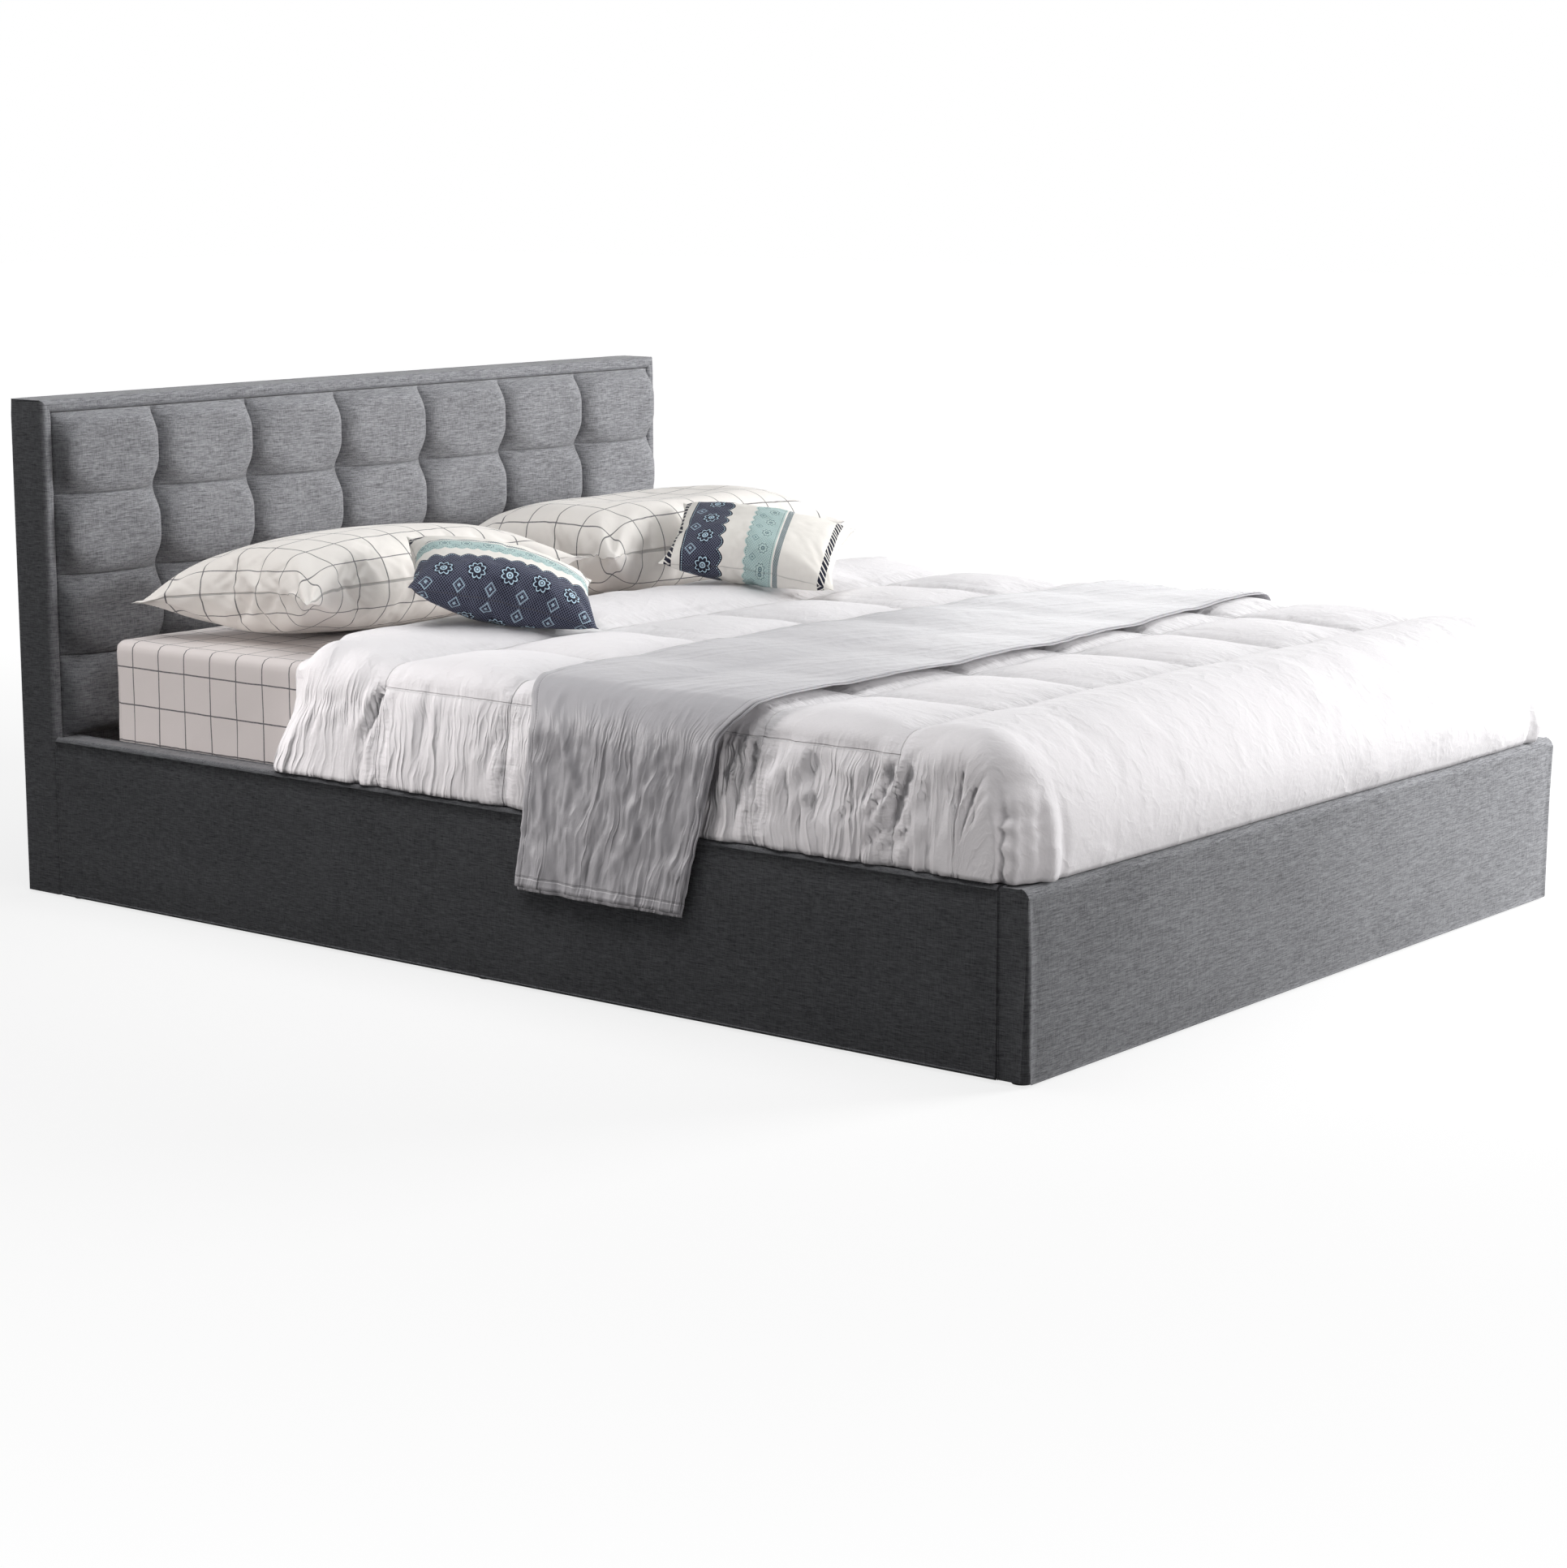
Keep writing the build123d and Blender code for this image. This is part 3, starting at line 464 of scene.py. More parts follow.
def cottonMaterial(name, tint, grid=None, lineColour=None, sheen=0.12, crumple=0.0016, spread=0.05, seams=(),
                   roughness=0.75, gloss=0.3, stitched=(), bands=None, seamTone=0.25, gathers=None, puckers=()):
    material, tree = newMaterial(name, Sheen_Weight=sheen, Sheen_Roughness=0.4, Specular_IOR_Level=gloss,
                                 Roughness=roughness)
    spot = place("UVMap", {"uv_map": "cloth"}, tree=tree)
    threads = useGroup(cottonThreads, Vector=spot)
    colour = mixColour(threads["Tone"], tuple(c * (1 - spread) for c in tint[:3]) + (1,), tint)
    height = threads["Height"]
    flat = split(spot)

    def gapTo(lines, axis, limits):
        return nearestLine(flat[axis], lines, limits, flat[1 - axis])

    if grid:
        colour = mixColour(useGroup(printedGrid, Vector=spot, **grid)["Mask"], colour, lineColour)
    if bands:
        colour = bands(flat[0], flat[1], colour)
    for lines, axis, limits, width in seams:
        mask = lineMask(gapTo(lines, axis, limits), width)
        colour = mixColour(mask * seamTone, colour, (0.12, 0.12, 0.13, 1))
        height = height - mask * 1.2
    for lines, axis in stitched:  # broken lines of stitches
        gap = gapTo(lines, axis, None)
        mask = lineMask(gap, 0.0012) * (maths("PINGPONG", flat[1 - axis], 0.0022) > 0.0006)
        colour = mixColour(mask * 0.5, colour, (0.10, 0.10, 0.11, 1))
        height = height - lineMask(gap, 0.003) * 0.5
    if gathers:
        depth, settings = gathers
        height = useGroup(gatheredCloth, Vector=spot, **settings)["Height"] * (depth / crumple) + height
    for lines, axis, limits, depth in puckers:  # short ripples across a seam
        ripples = noiseAt(spot, 1.0, (24, 75, 1) if axis == 0 else (75, 24, 1), 2.0)
        height = lineMask(gapTo(lines, axis, limits), 0.045) * ripples * (depth / crumple) + height
    return dress(material, colour, height, crumple, 0.8)


def makeLaceGroup():  # a lace-like band with scalloped edges, a net, and roundels down its middle
    group, (along, across, low, high, scallopLow, scallopHigh, pitch, net) = newGroup(
        "laceBand", Along=0.0, Across=0.0, Low=0.0, High=0.05, ScallopLow=0.0, ScallopHigh=0.005, Pitch=0.02,
        Net=0.0036)
    wave = abs(maths("SINE", along * math.pi / pitch))
    top = high + scallopHigh * wave
    bottom = low - scallopLow * wave
    slants = least(maths("PINGPONG", along + across, net * 0.5), maths("PINGPONG", along - across, net * 0.5))
    edge = least(top - across, across - bottom)
    rim = lineMask(abs(edge - 0.0035), 0.0009) * (maths("PINGPONG", along, 0.0018) > 0.0006)

    def cell(shift, level):  # places about the middles of cells twice as long as a scallop
        x = maths("MODULO", along + pitch * shift, pitch * 2.0) - pitch
        return x, across - ((high - low) * level + low)

    x, y = cell(51.0, 0.60)  # roundels: a ring in an outline of petals
    share = maths("SQRT", x * x + y * y) / pitch
    petals = abs(maths("SINE", maths("ARCTAN2", y, x) * 4.0)) * 0.16 + 0.36
    rings = most(lineMask(abs(share - 0.17), 0.06), lineMask(abs(share - petals), 0.055))
    rings = most(rings, share < 0.07)
    x, y = cell(50.0, 0.26)  # smaller lozenges on a lower line, between the roundels
    lozenge = (abs(x) + abs(y)) / pitch
    lozenges = most(lineMask(abs(lozenge - 0.36), 0.06), lozenge < 0.12) * 0.7
    threads = (slants < net * 0.085) * (edge > 0.0055) * (share > 0.60)  # no net behind a roundel
    return closeGroup(group, Mask=(across > bottom) * (across < top), Threads=threads,
                      Roundels=most(rings, lozenges), Eyelets=rim)


laceBand = makeLaceGroup()
cushionColours = {"linen": rgb(236, 233, 227), "navy": rgb(19, 21, 39), "net": rgb(124, 130, 152),
                  "pale": rgb(190, 216, 232), "sage": rgb(184, 205, 202), "sageNet": rgb(128, 160, 165),
                  "sageDark": rgb(62, 92, 104)}


def printedBands(alongAxis, navy, sage, strips):
    def colours(u, v, colour):
        along, across = (u, v) if alongAxis == 0 else (v, u)
        tones = cushionColours
        for band, ground, thread, roundel in ((navy, "navy", "net", "pale"), (sage, "sage", "sageNet", "sageDark")):
            lace = useGroup(laceBand, Along=along, Across=across, Net=0.0052, **band)
            inner = mixColour(lace["Threads"] * 0.85, tones[ground], tones[thread])
            inner = mixColour(lace["Roundels"], inner, tones[roundel])
            inner = mixColour(lace["Eyelets"], inner, tones[roundel])
            colour = mixColour(lace["Mask"], colour, inner)
        for low, high, tone, pitch in strips:  # narrow corded strips
            twist = maths("PINGPONG", along + across, pitch) > pitch * 0.28
            colour = mixColour((across > low) * (across < high) * twist, colour, tones[tone])
        return colour
    return colours


gridPrint = {"Spacing": 0.069, "Line": 0.0019}
gridInk = rgb(72, 72, 78)
pillowGrid = cottonMaterial("pillowGrid", rgb(243, 239, 234), {**gridPrint, "ShiftU": 0.0345, "ShiftV": 0.0345},
                            gridInk, crumple=0.0014, gloss=0.4, seamTone=0.5,
                            seams=[([-0.3675, 0.3675], 0, None, 0.003), ([-0.233, 0.233], 1, None, 0.0036)])
sheetGrid = cottonMaterial("sheetGrid", rgb(234, 227, 225), {**gridPrint, "ShiftU": 0.012, "ShiftV": 0.02}, gridInk,
                           crumple=0.0008)
tickingWhite = cottonMaterial("tickingWhite", rgb(226, 226, 222))

# Headboard tufts: seven columns and four rows of stuffed squares
tuftSizes = {"columns": 7, "rows": 4, "proud": 0.042, "rowDip": 0.075, "groove": 0.0046, "grooveWidth": 0.014,
             "seamDepth": 0.034, "clear": 0.0006, "lines": (34, 26), "margin": 4, "cloth": (1.74, 0.64),
             "rim": (0.985, 0.965)}


def buildTufts():
    sizes = tuftSizes
    low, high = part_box("headboard_panel")
    seamPlane = high.y - sizes["seamDepth"]
    rimU, rimV = sizes["rim"]  # beyond these the cloth turns round the panel's edge

    def crowd(value, count):  # gathers the mesh lines near the seams
        cell = (np.clip(value, -1, 1) + 1) / 2 * count
        index = np.clip(np.floor(cell), 0, count - 1)
        inside = 2 * (cell - index) - 1
        inside = np.sign(inside) * (1 - (1 - np.abs(inside)) ** 1.55)
        return index, inside, (index + (inside + 1) / 2) / count * 2 - 1

    def face(u, v):
        column, a, across = crowd(u / rimU, sizes["columns"])
        row, b, up = crowd(v / rimV, sizes["rows"])
        sideA, sideB = np.abs(a), np.abs(b)
        pinch = smoothStep(0.22, 1.0, sideB)
        rise = np.clip(1 - sideA ** (8.5 - 5.7 * pinch), 0, 1) ** (0.42 + 0.36 * pinch)
        dip = 1 - sizes["rowDip"] * sideB ** 5 - 0.34 * sideA ** 3 * sideB ** 5 - 0.05 * sideB ** 14
        lastRow = ((row == 0) & (b < 0)) | ((row == sizes["rows"] - 1) & (b > 0))
        groove = sizes["groove"] * bell(1 - sideB, sizes["grooveWidth"]) * (0.25 + 0.75 * rise)
        puff = sizes["proud"] * rise * dip - np.where(lastRow, 0, groove)
        puff = puff * (0.45 + 0.55 * np.where(lastRow, smoothStep(1.0, 0.80, sideB), 1))
        rays = np.sin(np.arctan2(1 - sideB, 1.5 * (1 - sideA)) * 8 + column * 2.1 + row * 1.3)
        puff = puff + 0.0015 * bell(1 - sideA, 0.22) * bell(1 - sideB, 0.30) * rays * rise
        puff = puff + 0.0012 * drift(across * 8, up * 4, 11) * rise
        x = across * (high.x - sizes["clear"])
        z = (low.z + high.z) / 2 + up * ((high.z - low.z) / 2 - sizes["clear"])
        edge = np.clip(np.maximum((np.abs(u) - rimU) / (1 - rimU), (np.abs(v) - rimV) / (1 - rimV)), 0, 1)
        return np.stack([x, (seamPlane - puff) * (1 - edge) + high.y * edge, z], axis=1)

    across, up = (sizes[way] * lines + sizes["margin"] for way, lines in zip(("columns", "rows"), sizes["lines"]))
    front = clothGrid("headboardTufts", across, up, face, sizes["cloth"])
    with editing(front, "DESELECT"):
        bpy.ops.mesh.select_non_manifold()
        bpy.ops.mesh.fill()
        bpy.ops.mesh.select_all(action="SELECT")
        bpy.ops.mesh.normals_make_consistent(inside=False)
    smooth(front, 70)
    settle(front, "base", greyLinen, ["headboard_panel"])


buildTufts()
print("headboard tufts made")

# Upholstered boards: an edge is named by its direction and the faces that meet there, as "z -x +y"
boardSizes = {"step": 0.03, "swell": 0.0022, "waver": 0.0008, "seamDepth": 0.0016, "segments": 6}


def liesAlong(code, first, second, ends):
    axis, *sides = code.split()
    middle, direction = (first + second) / 2, second - first
    if direction.length <= 0.02 or abs(direction.normalized()["xyz".index(axis)]) < 0.9:
        return False
    return all(abs(middle["xyz".index(side[1])] - ends[side[0]]["xyz".index(side[1])]) < 0.002 for side in sides)


def paddedBoard(name, node, rounds, seed, swell=boardSizes["swell"], mitres=()):
    # a block with rounded edges whose faces swell a little between them
    low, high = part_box(node)
    middle, size = (low + high) / 2, high - low
    clearSelection()
    bpy.ops.mesh.primitive_cube_add(size=1, location=middle, scale=size)
    board = named(bpy.context.object, name)
    pick(board)
    bpy.ops.object.transform_apply(location=True, rotation=True, scale=True)
    for code, radius in rounds.items():
        bpy.ops.object.mode_set(mode="EDIT")
        bpy.ops.mesh.select_all(action="DESELECT")
        bpy.ops.object.mode_set(mode="OBJECT")
        spots = [Vector(spot) for spot in places(board)]
        for edge in board.data.edges:
            edge.select = liesAlong(code, *(spots[index] for index in edge.vertices), {"-": low, "+": high})
        bpy.ops.object.mode_set(mode="EDIT")
        bpy.context.tool_settings.mesh_select_mode = (False, True, False)
        bpy.ops.mesh.bevel(offset=radius, segments=boardSizes["segments"], profile=0.5, affect="EDGES")
        bpy.ops.object.mode_set(mode="OBJECT")
    with editing(board):
        for corner, outward in mitres:  # cut the end to 45 degrees where two borders meet
            bpy.ops.mesh.select_all(action="SELECT")
            bpy.ops.mesh.bisect(plane_co=corner, plane_no=outward, use_fill=True, clear_outer=True)
        for axis in range(3):
            count = int(size[axis] / boardSizes["step"])
            normal = [int(other == axis) for other in range(3)]
            for index in range(1, count):
                spot = list(low)
                spot[axis] += size[axis] * index / count
                bpy.ops.mesh.select_all(action="SELECT")
                bpy.ops.mesh.bisect(plane_co=spot, plane_no=normal)
    spots = places(board)
    near = np.minimum(spots - np.array(low), np.array(high) - spots)  # how far inside each pair of faces
    for axis in range(3):
        one, two = (other for other in range(3) if other != axis)
        inner = np.minimum(near[:, one], near[:, two])
        rise = swell * smoothStep(0.004, 0.06, inner) - swell
        rise = rise + boardSizes["waver"] * drift(spots[:, one] * 7, spots[:, two] * 7, seed + axis) \
            * smoothStep(0.002, 0.04, inner)
        side = np.where(spots[:, axis] > middle[axis], 1, -1)
        spots[:, axis] += np.where(near[:, axis] < 1e-4, side * rise, 0)
    for corner, outward in mitres:  # the seam draws the cloth in
        away = (spots - np.array(corner)) @ np.array(outward) / np.linalg.norm(outward)
        inward = np.array(middle) - spots
        inward[:, int(np.argmax(size))] = 0
        inward /= np.maximum(np.linalg.norm(inward, axis=1), 1e-9)[:, None]
        spots += inward * (boardSizes["seamDepth"] * bell(away, 0.004))[:, None]
    setPlaces(board, spots)
    smooth(board, 40)
    settle(board, "base", greyLinen, [node])


borderLow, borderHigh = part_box("headboard_border_top")
borderCorners = {"left": (borderLow.x, 0, borderHigh.z), "right": (borderHigh.x, 0, borderHigh.z)}
for sideName, side, outer, inner in (("left", -1, "-x", "+x"), ("right", 1, "+x", "-x")):
    paddedBoard(f"headboardBorder{sideName.title()}", f"headboard_border_{sideName}",
                {f"z {outer} -y": 0.0115, f"z {inner} -y": 0.0095, f"z {outer} +y": 0.005}, 40 + side, 0.0009,
                [(borderCorners[sideName], (-side, 0, 1))])
paddedBoard("headboardBorderTop", "headboard_border_top", {"x -y +z": 0.0115, "x -y -z": 0.0095, "x +y +z": 0.005},
            44, 0.0009, [(borderCorners["left"], (-1, 0, -1)), (borderCorners["right"], (1, 0, -1))])
for sideName, side, outer, inner in (("left", -1, "-x", "+x"), ("right", 1, "+x", "-x")):
    paddedBoard(f"railCover{sideName.title()}", f"rail_cover_{sideName}",
                {f"y {outer} +z": 0.010, f"y {inner} +z": 0.006, f"y {outer} -z": 0.006,
                 f"z {outer} -y": 0.004, f"z {outer} +y": 0.004}, 20 + side)
paddedBoard("footPanelCover", "foot_cover",
            {"x -y +z": 0.020, "x +y +z": 0.010, "z -x -y": 0.016, "z +x -y": 0.016,
             "z -x +y": 0.004, "z +x +y": 0.004, "x -y -z": 0.006}, 31)
print("padded boards made")


def wrap(spec):  # cloth over the mattress, for the sheet and the duvet alike
    # u runs across and v from foot to head; past the top's edge the cloth rolls down on a radius
    sideTop = spec["half"] - spec["sideRound"]
    footTop = spec["middle"] - spec["foot"] - spec["footRound"]
    headTop = spec["head"] - spec["middle"] - spec.get("headRound", 0)

    def length(radius):
        return radius * math.pi / 2 + (spec["top"] - spec["bottom"] - radius)

    sideRun, footRun = length(spec["sideRound"]), length(spec["footRound"])
    headRun = length(spec["headRound"]) if "headRound" in spec else 0
    acrossAll, footAll, headAll = sideTop + sideRun, footTop + footRun, headTop + headRun

    def flat(u, v):
        return u * acrossAll, spec["middle"] - footAll + (v + 1) / 2 * (footAll + headAll)

    def surface(u, v):
        a, b = u * acrossAll, -footAll + (v + 1) / 2 * (footAll + headAll)
        sa = np.clip((np.abs(a) - sideTop) / sideRun, 0, None)
        sb = np.where(b < 0, np.clip((-b - footTop) / footRun, 0, None),
                      np.clip((b - headTop) / headRun, 0, None) if headRun else 0)
        s = np.maximum(sa, sb)
        ratio = np.where(sa >= sb, math.pi / 4 * sb / np.maximum(sa, 1e-9),
                         math.pi / 2 - math.pi / 4 * sa / np.maximum(sb, 1e-9))
        turn = np.where(s > 1e-9, ratio, 0)
        endRound = np.where(b < 0, spec["footRound"], spec.get("headRound", 0.01))
        endRun = np.where(b < 0, footRun, headRun if headRun else sideRun)
        share = np.sin(turn) ** 2
        radius = spec["sideRound"] + (endRound - spec["sideRound"]) * share
        run = s * (sideRun + (endRun - sideRun) * share)
        arc = np.minimum(run / radius, math.pi / 2)
        out = radius * np.sin(arc)
        drop = radius * (1 - np.cos(arc)) + np.maximum(run - radius * math.pi / 2, 0)
        x = np.sign(a) * (np.minimum(np.abs(a), sideTop) + out * np.cos(turn))
        headEnd = np.minimum(b, headTop) + (out * np.sin(turn) if headRun else 0)
        y = np.where(b < 0, -(np.minimum(-b, footTop) + out * np.sin(turn)), headEnd)
        return np.stack([x, spec["middle"] + y, spec["top"] - drop], axis=1)

    surface.size, surface.flat = (2 * acrossAll, footAll + headAll), flat
    return surface


mattressLow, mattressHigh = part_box("mattress")
sheetLow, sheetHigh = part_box("fitted_sheet")
bedMiddle = (mattressLow.y + mattressHigh.y) / 2
sheetSpec = {"half": sheetHigh.x, "sideRound": 0.018, "foot": sheetLow.y, "footRound": 0.018, "head": sheetHigh.y,
             "headRound": 0.018, "middle": bedMiddle, "top": sheetHigh.z, "bottom": sheetLow.z}
mattressSpec = {"half": mattressHigh.x - 0.002, "sideRound": 0.016, "foot": mattressLow.y + 0.002, "footRound": 0.016,
                "head": mattressHigh.y - 0.002, "headRound": 0.016, "middle": bedMiddle,
                "top": mattressHigh.z - 0.0012, "bottom": (mattressLow.z + mattressHigh.z) / 2}


coreMesh = {"columns": 70, "rows": 80, "cloth": (1.9, 2.3)}
sheetMake = {"columns": 190, "rows": 200, "thickness": 0.0011, "wrinkle": 0.0014, "gather": 0.0016, "skirt": 0.02}


def buildMattress():
    base = wrap(mattressSpec)
    columns, rows, cloth = coreMesh.values()

    def under(u, v):
        spot = base(u, v)
        spot[:, 2] = mattressLow.z + mattressHigh.z - spot[:, 2]
        return spot

    core = join(clothGrid("mattressCore", columns, rows, base, cloth),
                clothGrid("mattressUnder", columns, rows, under, cloth), "mattressCore", 1e-3)
    smooth(core, 50)
    settle(core, "platform", tickingWhite, ["mattress"])


def buildSheet():
    base = wrap(sheetSpec)

    def wrinkles(u, v):
        x, y, z = base(u, v).T
        down = smoothStep(sheetHigh.z - sheetMake["skirt"], sheetLow.z, z)
        gather = sheetMake["gather"] * down ** 2 * np.sin((x + y) * 210 + 3 * drift((x + y) * 6, z * 3, 5))
        return -0.0012 + sheetMake["wrinkle"] * drift(x * 6, y * 6 + z * 9, 3) + gather

    sheet = clothGrid("fittedSheet", sheetMake["columns"], sheetMake["rows"], raised(base, wrinkles), base.size)
    applyModifier(sheet, "SOLIDIFY", thickness=sheetMake["thickness"], offset=-1)
    smooth(sheet)
    settle(sheet, "platform", sheetGrid, ["fitted_sheet"])


buildMattress()
buildSheet()
print("mattress and sheet made")

# The quilted duvet
duvetLow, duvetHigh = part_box("duvet")
duvetShape = {"columns": 262, "rows": 216, "across": [-0.850, -0.565, -0.27, 0.03, 0.32, 0.59, 0.850], "flare": 0.022,
              "along": [-0.885, -0.612, -0.36, -0.082, 0.212], "crown": 0.018, "fold": 0.008, "under": 0.0009,
              "frames": 16, "pressure": 4.0, "bending": 0.05, "wallSlack": 0.06, "cap": 0.016, "reach": 0.8655,
              "inside": 0.8035, "railFace": 0.8095, "footFace": -1.0845, "corner": (0.733, -1.005),
              "gatherDepth": 0.0110, "gatherFine": 0.0065, "hemRoll": 0.036, "hemSwell": 0.012, "slant": 0.075,
              "seamFolds": [0.6, 0.35, 0.0, 0.3, 1.0],
              "pleats": [(0.30, -0.005, 0.05), (0.44, 0.007, 0.06), (0.60, -0.010, 0.045), (0.74, 0.008, 0.06),
                         (1.02, -0.005, 0.06), (1.18, 0.006, 0.08), (1.36, -0.004, 0.05)]}
duvetSpec = {"half": 0.838, "sideRound": 0.05, "foot": duvetLow.y + 0.003, "footRound": 0.105,
             "head": duvetHigh.y, "middle": bedMiddle, "top": 0.5085, "bottom": duvetLow.z + 0.0008}


def seamGap(value, seams):  # distance to the nearest seam, and the width of the box it lies in
    seams = np.sort(np.array(seams))
    index = np.clip(np.searchsorted(seams, value) - 1, 0, len(seams) - 2)
    return np.minimum(np.abs(value - seams[index]), np.abs(seams[index + 1] - value)), seams[index + 1] - seams[index]


def quiltGaps(across, along):  # gaps to the seams both ways; large where there is no seam
    seamsX, seamsY = duvetShape["across"], duvetShape["along"]
    fade = smoothStep(seamsY[0] - 0.10, seamsY[0], along)
    fade = fade * smoothStep(seamsY[-1] + 0.10, seamsY[-1], along)
    gapX, spanX = seamGap(np.clip(across, seamsX[0], seamsX[-1]), seamsX)
    gapX = np.where(np.abs(across) > seamsX[-1], np.abs(across) - seamsX[-1], gapX)
    gapY, spanY = seamGap(along, [-1.4] + seamsY + [0.55])
    return gapX, spanX, gapY, spanY, fade


def gathers(along, z, seed):  # irregular sharp folds down a side
    sway = along + 0.05 * drift(along * 7, z * 6, seed)
    folds = duvetShape["gatherDepth"] * creases(sway * 17, z * 2.6, seed + 1, 2) ** 1.8
    return folds + duvetShape["gatherFine"] * creases(sway * 33, z * 4.2, seed + 2, 2) ** 1.8 - 0.005


def duvetSurface():
    base = wrap(duvetSpec)
    shape = duvetShape

    def height(u, v):
        x, _, z = base(u, v).T
        across, along = base.flat(u, v)
        gapX, spanX, gapY, spanY, fade = quiltGaps(across, along)
        wall = 1 - smoothStep(0.435, 0.492, z)
        span = np.where(np.abs(across) < shape["across"][-1], spanX, 0.3)

        def rise(gap, width):
            return np.clip(1 - (1 - np.clip(2 * gap / width, 0, 1)) ** 2.6, 0, 1) ** 0.62

        box = (1 - fade * (1 - rise(gapX, span))) * rise(gapY, np.clip(spanY, 0.2, 0.3))
        puff = shape["crown"] * box * (1 - 0.6 * wall)
        nearSeam = bell(np.minimum(gapX + 0.2 * (1 - fade), gapY), 0.04)
        pucker = 0.0012 * nearSeam * drift(across * 40, along * 40, 21, 2)
        roll = 0.0038 * drift(across * 3.1, along * 3.1, 8) + 0.0012 * drift(across * 13, along * 13, 9)
        side = smoothStep(0.78, 0.815, np.abs(x))
        sway = along + 0.14 * (z - 0.4) * drift(along * 3, z * 2, 30)
        sideFold = shape["fold"] * (1.1 * creases(sway * 19 + 4 * np.sign(x), z * 1.7, 31) - 0.3)
        sideFold += 0.0034 * creases(sway * 37, z * 3.2, 32) + 0.0012 * drift(sway * 60, z * 12, 33, 2)
        broad = smoothStep(0.2, 0.8, drift(x * 2, z * 3, 38) + 0.6)
        footFold = 0.0035 * drift(x * 3 + z * 3, z * 4 - x * 1.2, 35, 2)
        footFold += 0.0068 * creases(x * 2.6 + z * 5.5, z * 4.5 - x * 3.2, 36) * broad
        footFold += 0.0026 * creases(x * 9 - z * 14, z * 6 + x * 2, 37)
        lower = smoothStep(0.308, 0.36, z)
        walls = wall * (side * sideFold + (1 - side) * footFold) * (0.45 + 0.55 * lower)
        belly = 0.006 * wall * np.sin(np.clip((z - 0.305) / 0.19, 0, 1) * math.pi)
        tuck = -0.004 * (1 - smoothStep(0.305, 0.325, z)) ** 1.5
        flare = shape["flare"] * smoothStep(0.44, 0.315, z)
        return puff + pucker + roll * (1 - wall) + walls + belly + tuck + flare

    outer = raised(base, height)

    def rolled(u, v):  # the head edge rolls under to lie on the sheet, and slants down the side
        spot = outer(u, v)
        x, y, z = spot.T
        drop = np.clip((0.49 - z) / 0.18, 0, 1)
        slant = (shape["slant"] * (1 - drop) * smoothStep(0.66, 0.80, np.abs(x))) * smoothStep(0.20, duvetHigh.y, y)
        y -= slant
        back = duvetHigh.y - slant - y
        t = np.clip(back / shape["hemRoll"], 0, 1)
        sheetTop = sheetHigh.z + 0.0012
        curve = np.sqrt(np.clip(1 - (1 - t) ** 2, 0, 1))
        topEdge = z > 0.478
        z += shape["hemSwell"] * bell(back - 0.05, 0.05) * topEdge * curve  # a plump hem
        z[:] = np.where(topEdge & (t < 1), sheetTop + (z - sheetTop) * curve, z)
        inward = (1 - curve) * (duvetSpec["half"] - shape["inside"])
        x[:] = np.where(~topEdge & (t < 1), np.sign(x) * (np.abs(x) - inward), x)
        return spot

    rolled.size, rolled.flat = base.size, base.flat
    return rolled


duvetOuter = duvetSurface()
seamShift = float(duvetOuter.flat(0.0, 0.0)[1])
quiltLines = [y - seamShift for y in duvetShape["along"]]
quiltEnds = (quiltLines[0], quiltLines[-1])
duvetCotton = cottonMaterial("duvetCotton", rgb(233, 231, 233), crumple=0.0024, spread=0.04, seamTone=0.05,
                             seams=[(duvetShape["across"], 0, quiltEnds, 0.0022), (quiltLines, 1, None, 0.0022)],
                             gathers=(0.0110, {"Start": 0.865, "Top": 0.08, "Foot": quiltLines[0] - 0.12}),
                             puckers=[(duvetShape["across"][1:-1], 0, quiltEnds, 0.004), (quiltLines, 1, None, 0.004)])


